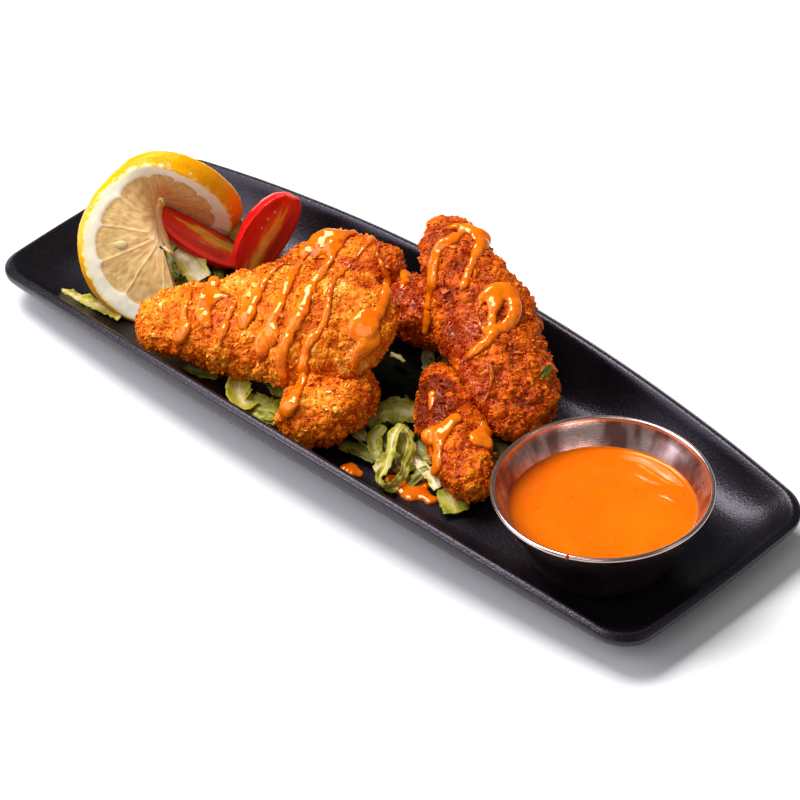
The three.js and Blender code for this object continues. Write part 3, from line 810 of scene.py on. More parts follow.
# Lines of sauce as the photo shows them: pixels and widths in pixels, from the top of
# the food down. The first number of each says how far it goes on over the far side, mm.
DRIZZLE = [
    (10, [(192, 283, 5), (190, 290, 6), (187, 300, 8), (185, 310, 8), (184, 319, 9), (187, 327, 9),
          (181, 334, 14), (178, 342, 7)]),
    (8, [(196, 277, 5), (208, 274, 7), (214, 281, 9), (213, 292, 11), (208, 302, 14), (203, 312, 12),
         (207, 321, 9), (211, 326, 6)]),
    (0, [(206, 300, 16), (214, 297, 14), (222, 296, 8), (231, 297, 5)]),
    (0, [(236, 304, 4), (231, 311, 6), (227, 320, 6), (224, 331, 7), (221, 344, 4)]),
    (16, [(283, 264, 4), (275, 270, 5), (266, 279, 7), (260, 291, 8), (253, 303, 10), (247, 315, 15),
          (244, 325, 10)]),
    (12, [(302, 263, 4), (298, 268, 6), (292, 276, 8), (286, 289, 9), (281, 302, 9), (275, 316, 10),
          (270, 328, 12), (268, 340, 18), (262, 351, 9), (260, 361, 4)]),
    (0, [(330, 262, 6), (322, 272, 8), (313, 286, 9), (305, 301, 11), (298, 318, 11), (291, 330, 8),
         (287, 341, 9), (283, 353, 9), (281, 365, 9), (283, 376, 8)]),
    (0, [(350, 266, 4), (341, 274, 6), (332, 285, 6), (329, 300, 6), (326, 319, 7), (319, 332, 7),
         (311, 341, 8), (306, 352, 9), (304, 366, 9), (304, 379, 7), (301, 387, 6), (295, 397, 11),
         (289, 407, 14), (283, 413, 7)]),
    (14, [(381, 262, 5), (386, 276, 7), (386, 292, 9), (382, 304, 9), (377, 315, 11), (366, 322, 20),
          (363, 329, 22), (372, 336, 15), (366, 346, 12), (358, 355, 9), (354, 367, 5)]),
    (9, [(342, 236, 10), (334, 240, 18), (325, 244, 22), (316, 249, 20), (306, 253, 11)]),
    (0, [(334, 242, 12), (333, 252, 9), (331, 261, 7)]),
    (6, [(345, 234, 5), (341, 244, 6), (338, 254, 5)]),
    (8, [(372, 238, 5), (366, 246, 6), (358, 257, 6)]),
    (14, [(468, 226, 6), (463, 234, 8), (453, 240, 10), (444, 247, 11), (437, 255, 11), (434, 265, 11),
          (433, 278, 10), (433, 289, 10), (431, 300, 10), (429, 313, 9), (427, 325, 7), (425, 333, 5)]),
    (16, [(463, 229, 8), (472, 232, 12), (480, 237, 14), (482, 243, 12), (478, 250, 9), (474, 261, 8),
          (469, 271, 7), (465, 282, 7), (462, 289, 5)]),
    (0, [(482, 298, 8), (492, 294, 12), (503, 292, 14), (512, 298, 12), (515, 309, 10), (512, 320, 10),
         (505, 328, 10), (495, 332, 9), (486, 331, 7)]),
    (0, [(496, 296, 13), (494, 306, 9), (492, 316, 8), (491, 326, 8)]),
    (0, [(482, 302, 5), (478, 312, 3), (480, 324, 4), (485, 330, 5)]),
    (0, [(494, 332, 8), (488, 342, 8), (480, 348, 8), (472, 354, 7), (466, 359, 5)]),
    (0, [(492, 366, 4), (492, 378, 5), (489, 392, 4), (484, 402, 4)]),
    (0, [(404, 272, 6), (406, 280, 9), (402, 289, 6)]),
    (0, [(432, 392, 5), (433, 401, 7), (431, 410, 5)]),
    (0, [(455, 420, 9), (447, 427, 12), (437, 436, 16), (428, 436, 11)]),
    (0, [(441, 434, 14), (440, 446, 10), (438, 456, 9), (440, 464, 8), (434, 472, 9), (427, 478, 9),
         (425, 487, 10), (425, 495, 12)]),
    (0, [(483, 424, 6), (484, 433, 11), (478, 440, 16), (486, 446, 12)]),
]

# Drops and puddles lying on the plate: pixel, and half length and half width in mm.
PUDDLES = [
    (276, 421, 4.2, 2.4), (352, 470, 4.5, 2.6), (398, 486, 4.6, 2.8), (410, 489, 5.2, 3.4),
    (420, 494, 4.5, 2.6), (428, 497, 4.0, 2.4), (263, 404, 1.5, 1.2), (401, 462, 1.6, 1.5),
    (403, 455, 1.5, 1.4), (399, 470, 1.6, 1.6),
    (426, 484, 1.8, 1.6), (425, 476, 1.8, 1.6), (392, 480, 3.2, 2.0),
]
SAUCE_VOXEL, DEEP_ON_PLATE = 0.43, 0.7
RIM_DRIP_PIXEL = (567, 557)


def ball(rings=6, sides=10):
    """Points and triangles of a ball with a radius of one."""
    turn = 2 * math.pi * np.arange(sides) / sides
    points = [(0, 0, -1)]
    for t in np.linspace(-math.pi / 2, math.pi / 2, rings + 1)[1:-1]:
        points += [(math.cos(t) * math.cos(a), math.cos(t) * math.sin(a), math.sin(t)) for a in turn]
    points.append((0, 0, 1))
    faces = []
    for j in range(sides):
        k = (j + 1) % sides
        faces.append((0, 1 + k, 1 + j))
        for i in range(rings - 2):
            a, b = 1 + i * sides + j, 1 + i * sides + k
            faces += [(a, b, b + sides), (a, b + sides, a + sides)]
        top = 1 + (rings - 2) * sides
        faces.append((len(points) - 1, top + j, top + k))
    return np.array(points), np.array(faces)


def flat_balls(places, normals, wide, thick):
    """Balls flattened along their normals."""
    shape, faces = ball()
    places, normals = np.asarray(places), unit(normals)
    side = unit(np.cross(normals, (0.31, 0.52, 0.79)))
    other = np.cross(normals, side)
    x, y, z = shape.T[:, None, :, None]
    wide, thick = np.reshape(wide, (-1, 1, 1)), np.reshape(thick, (-1, 1, 1))
    p = places[:, None] + (x * side[:, None] + y * other[:, None]) * wide
    p = p + z * normals[:, None] * thick
    f = faces[None] + (np.arange(len(places)) * len(shape))[:, None, None]
    return p.reshape(-1, 3), f.reshape(-1, 3)


def over_the_top(tree, start, heading, length, gap=0.6):
    """Goes on along the surface from a point, and turns downhill little by little."""
    places, normals = [], []
    p, d = start, unit(heading)
    for _ in range(int(length / gap)):
        hit = tree.find_nearest(Vector(p + d * gap))
        if hit[0] is None:
            break
        n = np.array(hit[1])
        p = np.array(hit[0])
        d = unit(d - n * (d @ n) + np.array([0, 0, -0.05]))
        places.append(p)
        normals.append(n)
    return places, normals


def drizzle_balls(tree, rng):
    """Where the balls of the drizzled lines lie, which way is out there, and their radii."""
    places, normals, radii = [], [], []
    for beyond, line in DRIZZLE:
        line = np.array(line, float)
        length = np.linalg.norm(np.diff(line[:, :2], axis=0), axis=1).sum()
        steps = spline(line, int(length / BALL_GAP_PIXELS))
        depth, facing, kept = [], [], []
        for x, y, width in steps:
            hit = seen_at(tree, x, y)
            if hit:
                kept.append((x, y, width))
                depth.append(np.linalg.norm(hit[0] - EYE))
                facing.append(hit[1])
        kept, depth, facing = np.array(kept), np.array(depth), np.array(facing)
        for i, (x, y, width) in enumerate(kept):
            near = slice(max(i - BALL_REACH, 0), i + BALL_REACH + 1)
            radius = BALL_EXTRA * width / PIXELS_PER_MM / 2 * (1 + BALL_UNEVEN * rng.normal())
            places.append(EYE + photo_ray(x, y) * np.median(depth[near]))
            normals.append(unit(facing[near].mean(0)))
            radii.append(max(radius, BALL_LEAST))
        if beyond and len(kept) > 4:
            first, fourth = places[-len(kept)], places[-len(kept) + 4]
            far, out = over_the_top(tree, first, first - fourth, beyond)
            taper = kept[0, 2] / PIXELS_PER_MM / 2 * (1 + 0.35 * np.sin(np.arange(len(far)) * 0.3))
            places += far
            normals += out
            radii += list(np.maximum(taper * np.linspace(1, 0.6, len(far)), 0.6))
    return np.array(places), np.array(normals), np.array(radii)


def make_sauce(tree, look):
    """The drizzled lines, beads beside them, puddles on the plate and a drop on the cup."""
    rng = np.random.default_rng(11)
    places, normals, radii = drizzle_balls(tree, rng)
    thick = np.clip(radii * 0.5, 0.4, 1.25)
    parts = [flat_balls(places + normals * (0.25 * thick)[:, None], normals, radii, thick)]
    # Small beads beside the lines.
    beads = rng.choice(len(places), BEADS)
    aside = unit(np.cross(normals[beads], rng.normal(0, 1, (BEADS, 3))))
    spread = places[beads] + aside * (radii[beads] + rng.uniform(0.6, 3.5, BEADS))[:, None]
    stuck = [tree.find_nearest(Vector(p)) for p in spread]
    parts.append(flat_balls([np.array(s[0]) for s in stuck], [np.array(s[1]) for s in stuck],
                            rng.uniform(0.35, 0.75, BEADS), rng.uniform(0.3, 0.5, BEADS)))
    for x, y, long, wide in PUDDLES:
        base = at_height(x, y, FLOOR + 0.6)
        base[2] = trough_height(base[0], base[1])
        for _ in range(PUDDLE_BALLS):
            step = rng.uniform(-1, 1, 2)
            p = base + np.array([step[0] * long * 0.6, step[1] * wide * 0.6, 0])
            p[2] = trough_height(p[0], p[1]) + 0.2
            parts.append(flat_balls([p], [(0, 0, 1)], wide * rng.uniform(0.5, 0.85), rng.uniform(0.8, 1.2)))
    rim_drip = at_height(*RIM_DRIP_PIXEL, CUP[2] + CUP_HEIGHT - 0.4)
    below = rim_drip - (0, 0.1, 0.9)
    parts.append(flat_balls([rim_drip, below], [BACKWARD, BACKWARD], [0.95, 0.7], [0.7, 0.6]))
    points, faces = merge(parts)
    points, quads = remesh(points, np.array(faces), SAUCE_VOXEL)
    points = relax(points, quads, 5, 0.55)
    n = normals_of(points, quads)
    points += n * (0.08 + 0.1 * fbm(points, 2.6, 2, 5))[:, None]
    # How thick the sauce is over the crust. On the plate and the cup's rim it is a set value.
    deep = np.array([(Vector(p) - tree.find_nearest(Vector(p))[0]).length for p in points])
    deep[deep > 9] = 0
    deep[points[:, 2] < trough_height(points[:, 0], points[:, 1]) + 2.5] = DEEP_ON_PLATE
    build("sauce_drizzle", points, quads, look, marks={"deep": deep})


# ------------------------------------------------------------------ lemon


def rest_on_plate(points, lift):
    """Lifts the points that lie lower than a height over the plate's inner surface."""
    points[:, 2] = np.maximum(points[:, 2], trough_height(points[:, 0], points[:, 1]) + lift)


# The slice lies in one plane on its left and in another on its right, and bends from
# one into the other between two angles. Angles are in degrees from its top.
LEMON_TOP = np.array([-102.9, -1.3, 51.4])
LEMON_RADIUS, LEMON_BACK_RADIUS, LEMON_THICK = 27.0, 28.8, 7.0
LEMON_FROM, LEMON_TO, LEMON_STEP = -194.0, 168.0, 1.2
LEMON_INNER = 0.8
LEMON_BEND = (-50.0, 24.0)
# By the fold the pulp reaches past the middle of the slice.
LEMON_OVER, LEMON_OVER_FROM, LEMON_OVER_TO = 5.5, (-75.0, -40.0), (-8.0, 18.0)
LEMON_SEGMENTS, FIRST_MEMBRANE = 11, 14.6
PULP_RADIUS, PULP_LOBE, PULP_MIDDLE, MEMBRANE_MIDDLE = 21.6, 1.7, (-0.9, 0.9), (0.5, 4.0)
LEMON_SEED_PIXEL = (120, 245)


def direction(azimuth, elevation):
    """A direction: azimuth 0 is to the front of the dish, 90 is to its right."""
    a, e = math.radians(azimuth), math.radians(elevation)
    return np.array([math.sin(a) * math.cos(e), -math.cos(a) * math.cos(e), math.sin(e)])


def lemon_plane(azimuth, elevation, roll):
    """A half's axes, across, up and out of its face, and its middle."""
    face = direction(azimuth, elevation)
    across = unit(np.cross((0, 0, 1), face))
    r = math.radians(roll)
    across = across * math.cos(r) + np.cross(face, across) * math.sin(r)
    up = np.cross(face, across)
    return np.stack([across, up, face]), LEMON_TOP - up * LEMON_RADIUS


LEMON_LEFT = lemon_plane(44.4, 31, 0)
LEMON_RIGHT = lemon_plane(27, -22, -13)


def lemon_section():
    """Radius and depth round the slice's section, from its middle out over the rind and back."""
    front, back = LEMON_RADIUS, LEMON_BACK_RADIUS
    corners = [
        (0, 0), (front - 0.9, 0), (front - 0.25, -0.2), (front, -0.8),
        ((front + back) / 2 + 0.5, -0.5 * LEMON_THICK), (back, 1.0 - LEMON_THICK),
        (back - 0.4, 0.3 - LEMON_THICK), (back - 1.4, -LEMON_THICK), (0, -LEMON_THICK)]
    counts = [52, 2, 3, 8, 8, 3, 3, 26]
    path = []
    for (r0, d0), (r1, d1), count in zip(corners, corners[1:], counts):
        t = np.arange(count)[:, None] / count
        path.append(np.array([r0, d0]) * (1 - t) + np.array([r1, d1]) * t)
    path.append(np.array([corners[-1]]))
    return np.vstack(path)


def lemon_marks(turn, r, depth):
    """Where each point is in the fruit: its segment, its membranes, its pulp and its rind."""
    x, y = r * np.sin(turn), r * np.cos(turn)
    cx, cy = x - MEMBRANE_MIDDLE[0], y - MEMBRANE_MIDDLE[1]
    reach = np.hypot(cx, cy)
    wobble = 0.05 * noise(np.stack([x, y, 0 * x], 1), 7, 3)
    phase = (np.degrees(np.arctan2(cx, cy)) + FIRST_MEMBRANE) * LEMON_SEGMENTS / 360 + wobble
    share = phase % 1
    wall = np.minimum(share, 1 - share) * 2 * math.pi / LEMON_SEGMENTS * reach
    lobe = PULP_LOBE * np.abs(2 * share - 1) ** 5
    pulp = PULP_RADIUS - lobe - np.hypot(x - PULP_MIDDLE[0], y - PULP_MIDDLE[1])
    rind = r - (LEMON_RADIUS - 0.75 - depth / LEMON_THICK * (LEMON_BACK_RADIUS - LEMON_RADIUS))
    return {"phase": phase, "reach": reach, "wall": wall, "pulp": pulp, "rind": rind}


def make_lemon(look, seed_look):
    """The folded slice of lemon, and its seed."""
    section = lemon_section()
    turns = np.radians(np.arange(LEMON_FROM, LEMON_TO + 0.1, LEMON_STEP))
    rows, columns = len(turns), len(section)
    turn = np.repeat(turns, columns)
    radius, depth = np.tile(section[:, 0], rows), np.tile(section[:, 1], rows)
    degrees = np.degrees(turn)
    over = smoothstep(degrees, *LEMON_OVER_FROM) * (1 - smoothstep(degrees, *LEMON_OVER_TO))
    over = over * (1 + 0.3 * noise(np.stack([degrees * 0.3, 0 * degrees, depth], 1), 3, 5))
    inner = LEMON_INNER - LEMON_OVER * over
    radius = inner + radius * (1 - inner / LEMON_BACK_RADIUS)
    points = []
    for axes, middle in (LEMON_LEFT, LEMON_RIGHT):
        flat = np.stack([radius * np.sin(turn), radius * np.cos(turn), depth], 1)
        points.append(middle + flat @ axes)
    share = smoothstep(degrees, *LEMON_BEND)[:, None]
    points = points[0] * (1 - share) + points[1] * share
    faces = tube_faces(rows, columns)
    marks = lemon_marks(turn, radius, depth)
    n = normals_of(points, np.array(faces[:-2]))
    if (n[columns // 4] @ LEMON_LEFT[0][2]) < 0:
        faces, n = [f[::-1] for f in faces], -n
    inside = smoothstep(marks["pulp"], -0.3, 0.5)
    sacs = cells(np.stack([marks["phase"] * 3.2, marks["reach"] * 0.3, depth * 0.3], 1), 1.0, 4)[0]
    body = inside * (-0.3 + 0.3 * (0.5 - sacs) + 0.12 * smoothstep(-marks["wall"], -0.7, -0.1))
    skin = smoothstep(marks["rind"], 0, 1)
    skin = skin * (0.12 * (cells(points, 1.5, 8)[0] - 0.5) + 0.3 * fbm(points, 9, 2, 6))
    points = points + n * (body + skin + 0.2 * fbm(points, 4, 2, 2))[:, None]
    rest_on_plate(points, 0.12)
    build("lemon_slice", points, faces, look, marks=marks, replaced=["lemon_twist"])
    # One seed sits in the pulp of the half that faces forward.
    d = photo_ray(*LEMON_SEED_PIXEL)
    axes, middle = LEMON_LEFT
    hit = EYE + d * ((middle - EYE) @ axes[2]) / (d @ axes[2])
    shape, faces = ball(14, 20)
    inward = unit(hit - middle)
    aside = np.cross(axes[2], inward)
    taper = 1 - 0.35 * smoothstep(shape[:, 0], -1, 1)
    p = (hit - 0.75 * axes[2] + shape[:, 0, None] * inward * 3.2
         + (shape[:, 1] * taper)[:, None] * aside * 2.0 + (shape[:, 2] * taper)[:, None] * axes[2] * 1.1)
    build("lemon_seed", p, faces, seed_look)


# ------------------------------------------------------------------ tomatoes

# Tail and head in millimetres, radius, where the core looks, the stretch of the length
# over which the core's yellow fades, and how bright the red is.
TOMATOES = {
    "tomato_wedge_left": ((-107.1, 1.3, 29.2), (-84.2, 19.3, 9.8), 8.5, (113.4, 51.6), (0.5, 0.1), 0.0),
    "tomato_wedge_right": ((-80, 13, 8), (-73.9, 32, 35.9), 10.3, (74, -1), (0.6, 1.0), 0.6),
}
TOMATO_SEEDS = [(275, 212), (262, 228), (268, 219)]
CORE_SHIFT = 0.1
TOMATO_VOXEL = 0.45


def make_tomatoes(look, seed_look):
    """The two wedges of tomato, and the seeds that lie on them."""
    seeds = []
    rng = np.random.default_rng(5)
    cuts = []
    for node, (tail, head, radius, core, fade, bright) in TOMATOES.items():
        points, quads = remesh(*node_mesh(node), TOMATO_VOXEL)
        points = relax(points, quads, 5, 0.5)
        tail, head = np.array(tail, float), np.array(head, float)
        axis = head - tail
        forward = unit(axis)
        side = direction(*core)
        side = unit(side - forward * (side @ forward))
        top = np.cross(side, forward)
        rel = points - tail
        u = np.clip((rel @ axis) / (axis @ axis), 0.001, 0.999)
        swell = np.sin(np.arccos(1 - 2 * u))
        edge = radius * CORE_SHIFT
        x, y = rel @ side, rel @ top
        reach = np.hypot(x - edge * (1 - swell), y) / (radius * swell**0.85 + 0.01)
        skin = smoothstep(reach, 0.93, 0.975)
        from_core = np.hypot(x - edge, y)
        faded = smoothstep((u - fade[1]) / (fade[0] - fade[1]), 0, 1)
        n = normals_of(points, quads)
        length = np.linalg.norm(axis)
        jelly = smoothstep(from_core, 2.4, 4.2) * (1 - smoothstep(reach, 0.66, 0.8)) * (1 - skin)
        lobes = smoothstep(noise(np.stack([u * 30, 0 * u, 3 + np.sign(y) * 2], 1), 5, 6), -0.2, 0.3)
        jelly = jelly * lobes
        streak = noise(np.stack([u * length * 0.2, y, x], 1), 1.1, 4)
        dip = (1 - skin) * (-0.35 * jelly + 0.1 * streak) + 0.12 * fbm(points, 6, 2, 3)
        points = points + n * dip[:, None]
        marks = {"skin": skin, "from_core": from_core + 3.2 * (1 - faded), "jelly": jelly,
                 "along": u * length, "over": y, "beside": x, "bright": np.full(len(x), bright)}
        build(node + "_cut", points, quads, look, marks=marks, replaced=[node])
        cuts.append((points, quads))
    tree = search_tree(cuts)
    for x, y in TOMATO_SEEDS:
        hit, out = seen_at(tree, x, y)
        shape, f = ball(8, 12)
        along = unit(np.cross(out, rng.normal(0, 1, 3)))
        other = np.cross(out, along)
        x, y, z = shape.T[:, :, None]
        p = hit + x * along * 0.6 + y * other * 0.35 + z * out * 0.2
        seeds.append((p, f))
    points, faces = merge(seeds)
    build("tomato_seeds", points, faces, seed_look)


# ------------------------------------------------------------------ lettuce


def picture_place(point):
    """The pixel of the photo where a point shows."""
    q = point - EYE
    away = -(q @ BACKWARD)
    half = FRAME_PIXELS / 2
    return half + FOCAL * (q @ RIGHT) / away, half - FOCAL * (q @ UP) / away


def on_plate(x, y, lift):
    """The point seen at a pixel that lies a given height over the plate's inner surface."""
    z = FLOOR + lift
    for _ in range(8):
        p = at_height(x, y, z)
        z = float(trough_height(p[0], p[1])) + lift
    return p


LEAF_STEP = 0.6


def leaf(path, widths, hint, rng, ruffle=0.8, curl=0.15, thick=0.32, rib=0.7, twist=0.0, rows=9):
    """A strip of leaf along a path: its rib is thick, and its edges are thin, wavy and ragged."""
    path = np.asarray(path, float)
    length = np.linalg.norm(np.diff(path, axis=0), axis=1).sum()
    count = max(int(length / LEAF_STEP), 12)
    line = spline(path, count)
    s = np.linspace(0, 1, count)
    width = np.interp(s, np.linspace(0, 1, len(widths)), widths)
    forward = unit(np.gradient(line, axis=0))
    hint = np.atleast_2d(np.asarray(hint, float))
    if len(hint) > 1:
        hint = np.stack([np.interp(s, np.linspace(0, 1, len(hint)), h) for h in hint.T], 1)
    hint = np.broadcast_to(hint, line.shape)
    side = unit(np.cross(hint, forward))
    normal = np.cross(forward, side)
    spin = np.radians(twist) * (s - 0.5)
    side, normal = (side * np.cos(spin)[:, None] + normal * np.sin(spin)[:, None],
                    normal * np.cos(spin)[:, None] - side * np.sin(spin)[:, None])
    v = np.linspace(-1, 1, rows)
    phase = rng.uniform(0, 90, 3)
    flat = np.stack(np.broadcast_arrays(s[:, None] * length, v[None] * 3, 0.0), -1)
    flat = flat.reshape(-1, 3) + phase

    def waves(size, seed, stretch=1):
        """Noise over the leaf, as a grid of values."""
        return noise(flat * (1, stretch, 1), size, seed).reshape(count, rows)

    ragged = 1 + 0.22 * (waves(1.3, 9) * (np.abs(v) > 0.9))
    sideways = v[None, :, None] * ragged[:, :, None] * width[:, None, None] / 2
    grid = line[:, None] + side[:, None] * sideways
    frill = 1.3 * waves(1.7, 5) * np.abs(v[None]) ** 1.6
    crumple = waves(3.4, 2, 1.2) + 0.7 * waves(1.3, 4)
    lift = ruffle * (1.1 * frill + 0.7 * crumple) + curl * width[:, None] * (v[None] ** 2 - 0.3)
    grid = grid + normal[:, None] * lift[:, :, None]
    ribbed = np.exp(-((v / 0.22) ** 2))[None] * np.linspace(1, 0.5, count)[:, None]
    half = 0.5 * (thick * (1 - 0.55 * np.abs(v[None]) ** 3) + rib * ribbed)
    half = normal[:, None] * half[:, :, None]
    top, low = grid + half, grid - half
    around = np.concatenate([top, low[:, ::-1]], 1)
    points = around.reshape(-1, 3)
    across = 2 * rows
    faces = tube_faces(count, across)
    both = np.concatenate([v, v[::-1]])[None]
    marks = {"edge": np.abs(both).repeat(count, 0), "rib": np.concatenate([ribbed, ribbed[:, ::-1]], 1),
             "along": (s * length)[:, None].repeat(across, 1), "across": both * width[:, None] / 2}
    return points, faces, {key: value.ravel() for key, value in marks.items()}


# Shreds that the photo shows: pixels with their lift over the plate in mm, widths in mm,
# how green they are, how dim (painted shade), how much they curl, and whether they stand on edge.
SHREDS = [
    ([(62, 289, 1.2), (76, 297, 1.0), (92, 303, 1.0), (108, 309, 1.5), (122, 316, 2)],
     [1, 4, 4.5, 5, 5], 0.35, 0.1, 0.10, 0),
    ([(176, 250, 12), (186, 259, 10), (194, 268, 8), (202, 280, 6)],
     [5, 9, 10, 7], 0.15, 0.05, 0.06, 0),
    ([(212, 213, 16), (224, 222, 14), (236, 230, 12), (246, 238, 11)],
     [4, 7, 8, 6], 0.45, 0.2, 0.10, 0),
    ([(186, 366, 2), (198, 370, 2.5), (214, 373, 2.5), (236, 371, 3)],
     [3, 5, 5, 4], 0.30, 0.75, 0.20, 0),
    ([(205, 364, 3), (220, 366, 4), (240, 364, 5)], [3, 5, 4], 0.35, 0.75, 0.20, 0),
    ([(244, 374, 8), (239, 384, 6.5), (239, 394, 5), (245, 402, 4), (255, 400, 4)],
     [5, 8, 9, 8, 5], 0.42, 0.05, 0.30, 0),
    ([(262, 366, 8), (268, 374, 8), (277, 384, 7), (280, 396, 6)], [5, 7, 7, 5], 0.50, 0.45, 0.15, 0),
    ([(250, 366, 8), (258, 372, 8), (264, 380, 7)], [4, 6, 4], 0.55, 0.25, 0.15, 0),
    ([(238, 400, 2.5), (250, 405, 3), (264, 410, 3.5), (276, 411, 4), (288, 406, 4)],
     [4, 8, 9, 9, 6], 0.62, 0.1, 0.12, 0),
    ([(254, 413, 2.5), (264, 418, 2.5), (276, 422, 2.5)], [3, 5, 4], 0.55, 0.15, 0.10, 0),
    ([(366, 424, 5), (378, 415, 6), (392, 411, 6), (408, 412, 6), (422, 418, 5)],
     [6, 8, 9, 8, 6], 0.45, 0.6, 0.08, 0),
    ([(384, 426, 5), (375, 436, 4), (375, 448, 3.5), (379, 460, 2.5)],
     [3, 5, 5, 3], 0.45, 0.45, 0.15, 0),
    ([(401, 424, 9), (394, 438, 8), (390, 452, 6.5), (386, 466, 5), (381, 478, 3.5), (384, 486, 3),
      (393, 484, 3), (401, 476, 4), (407, 462, 6), (411, 448, 8), (409, 434, 9), (403, 427, 9.5)],
     [3, 3.6, 3.6, 3.4, 3.2, 3.2, 3, 3.2, 3.4, 3.6, 3.4, 2.6], 0.30, 0.05, 0.12, 1),
    ([(401, 430, 6.5), (404, 440, 5.5), (400, 452, 4)], [5, 7, 5], 0.45, 0.3, 0.20, 0),
    ([(384, 484, 1.6), (390, 489, 1.8), (398, 488, 2)], [2, 3.5, 2], 0.45, 0.15, 0.20, 0),
    ([(412, 456, 5), (421, 465, 4.5), (430, 476, 4), (438, 489, 3)],
     [2.5, 4, 4, 2.5], 0.02, 0.0, 0.05, 0),
    ([(414, 444, 4), (424, 452, 3.5), (434, 462, 3)], [5, 7, 6], 0.42, 0.6, 0.15, 0),
    ([(438, 462, 4), (446, 472, 4), (455, 484, 3.5), (464, 494, 3)], [5, 7, 8, 7], 0.28, 0.35, 0.10, 0),
    ([(450, 488, 3.2), (452, 497, 3), (454, 505, 2.6), (456, 513, 2.0)],
     [8, 8.5, 8.5, 7.5], 0.40, 0.2, 0.06, 0),
    ([(374, 470, 2), (381, 467, 2.5), (390, 463, 3)], [3, 5, 4], 0.25, 0.2, 0.10, 0),
    ([(346, 444, 2), (357, 449, 2.5), (368, 455, 2.5), (376, 462, 2)],
     [3, 5, 5, 3], 0.45, 0.8, 0.15, 0),
    ([(340, 438, 2), (344, 446, 2), (348, 452, 2)], [2.5, 4, 2.5], 0.25, 0.6, 0.15, 0),
    ([(354, 430, 4), (360, 436, 4), (366, 440, 4)], [3, 5, 3], 0.28, 0.55, 0.15, 0),
    ([(391, 354, 6), (398, 357, 6.5), (404, 362, 6)], [1.5, 2.5, 1.5], 0.15, 0.3, 0.10, 0),
]
# The rest of the heap: where it starts on the plate and how long it is in mm, and its
# front and back edges at shares of that length.
HEAP_SHREDS = 90
HEAP_SHREDS_FROM, HEAP_SHREDS_TO = -96, 52
HEAP_START, HEAP_LENGTH = -112, 178
HEAP_FRONT = ([0, 0.12, 0.3, 0.6, 1], [2, -14, -26, -29, -26])
HEAP_BACK = ([0, 0.12, 0.5, 0.75, 1], [14, 26, 33, 24, -6])
# Where the plate is bare or in deep shade among the food: pixels, with a radius in pixels.
BARE = [
    (200, 390, 26), (225, 410, 26), (245, 425, 20), (310, 458, 22), (340, 472, 20), (362, 486, 18),
    (398, 372, 30),
    (425, 508, 18), (380, 505, 16), (120, 330, 26), (150, 350, 24), (175, 370, 22), (272, 388, 14),
    (358, 466, 10),
]


def make_lettuce(look, core_shade_look):
    """The shreds that the photo shows, the rest of the heap, and what lies under it."""
    rng = np.random.default_rng(21)
    leaves = []
    for path, widths, green, dim, curl, upright in SHREDS:
        line = np.array([on_plate(*p) for p in path])
        hint = BACKWARD * 0.6 + np.array([0, 0, 0.8])
        if upright:
            hint = unit(line - line.mean(0) + 7 * BACKWARD)
        leaves.append((leaf(line, widths, hint, rng, 0.8, curl), green, dim, rng.random()))
    while len(leaves) < len(SHREDS) + HEAP_SHREDS:
        x = rng.uniform(HEAP_SHREDS_FROM, HEAP_SHREDS_TO)
        u = (x - HEAP_START) / HEAP_LENGTH
        low, high = np.interp(u, *HEAP_FRONT), np.interp(u, *HEAP_BACK)
        y = rng.uniform(low + 3, high)
        heading = rng.uniform(0, math.pi)
        length = rng.uniform(12, 30)
        step = np.array([math.cos(heading), math.sin(heading)]) * length / 4
        bend = rng.normal(0, 0.35, 5).cumsum()
        line, p = [], np.array([x, y]) - step * 2
        for k in range(5):
            c, s = math.cos(bend[k]), math.sin(bend[k])
            p = p + np.array([step[0] * c - step[1] * s, step[0] * s + step[1] * c])
            p[1] = np.clip(p[1], low - 2, high + 3)
            line.append([p[0], p[1], float(trough_height(p[0], p[1])) + rng.uniform(0.8, 4.2)])
        seen = [picture_place(np.array(p)) for p in line]
        if any(math.dist(spot[:2], place) < spot[2] for spot in BARE for place in seen):
            continue
        widths = rng.uniform(2, 5.5, 4)
        strip = leaf(line, widths, (0, 0, 1), rng, 0.8, rng.uniform(0.05, 0.25), twist=rng.normal(0, 50))
        # Each shred of the heap gets a random painted shade.
        leaves.append((strip, rng.choice([0.15, 0.35, 0.5, 0.7]), rng.uniform(0.35, 0.85), rng.random()))
    marks = {}
    for key in ("edge", "rib", "along", "across"):
        marks[key] = np.concatenate([m[0][2][key] for m in leaves])
    for k, key in enumerate(("green", "dim", "tint"), 1):
        marks[key] = np.concatenate([np.full(len(m[0][0]), m[k]) for m in leaves])
    points, faces = merge(m[0][:2] for m in leaves)
    rest_on_plate(points, 0.15)
    build("lettuce_shreds", points, faces, look, marks=marks, replaced=["lettuce_bed"])
    # What lies under the shreds, low and out of sight, coloured near black as painted shade.
    across, along = np.meshgrid(np.linspace(-1, 1, 31), np.linspace(-1, 1, 61))
    x = -24 + 62 * along
    y = 4 - 0.12 * (x + 24) + 19 * across * np.sqrt(np.clip(1.02 - along**2, 0, 1))
    x, y = x.ravel(), y.ravel()
    flat = np.stack([x, y, 0 * x], 1)
    dome = np.clip(1 - across**2, 0, 1) * np.clip(1 - along**2, 0, 1)
    z = trough_height(x, y) + 0.1 + (dome.ravel() ** 0.5) * (2.2 + 1.6 * fbm(flat, 7, 3, 8))
    top = np.stack([x, y, z], 1)
    under = np.stack([x, y, trough_height(x, y) + 0.05], 1)
    merged, faces = merge([(top, grid_faces(61, 31)), (under, grid_faces(61, 31)[:, ::-1])])
    build("lettuce_core", merged, faces, core_shade_look)


# ------------------------------------------------------------------ looks


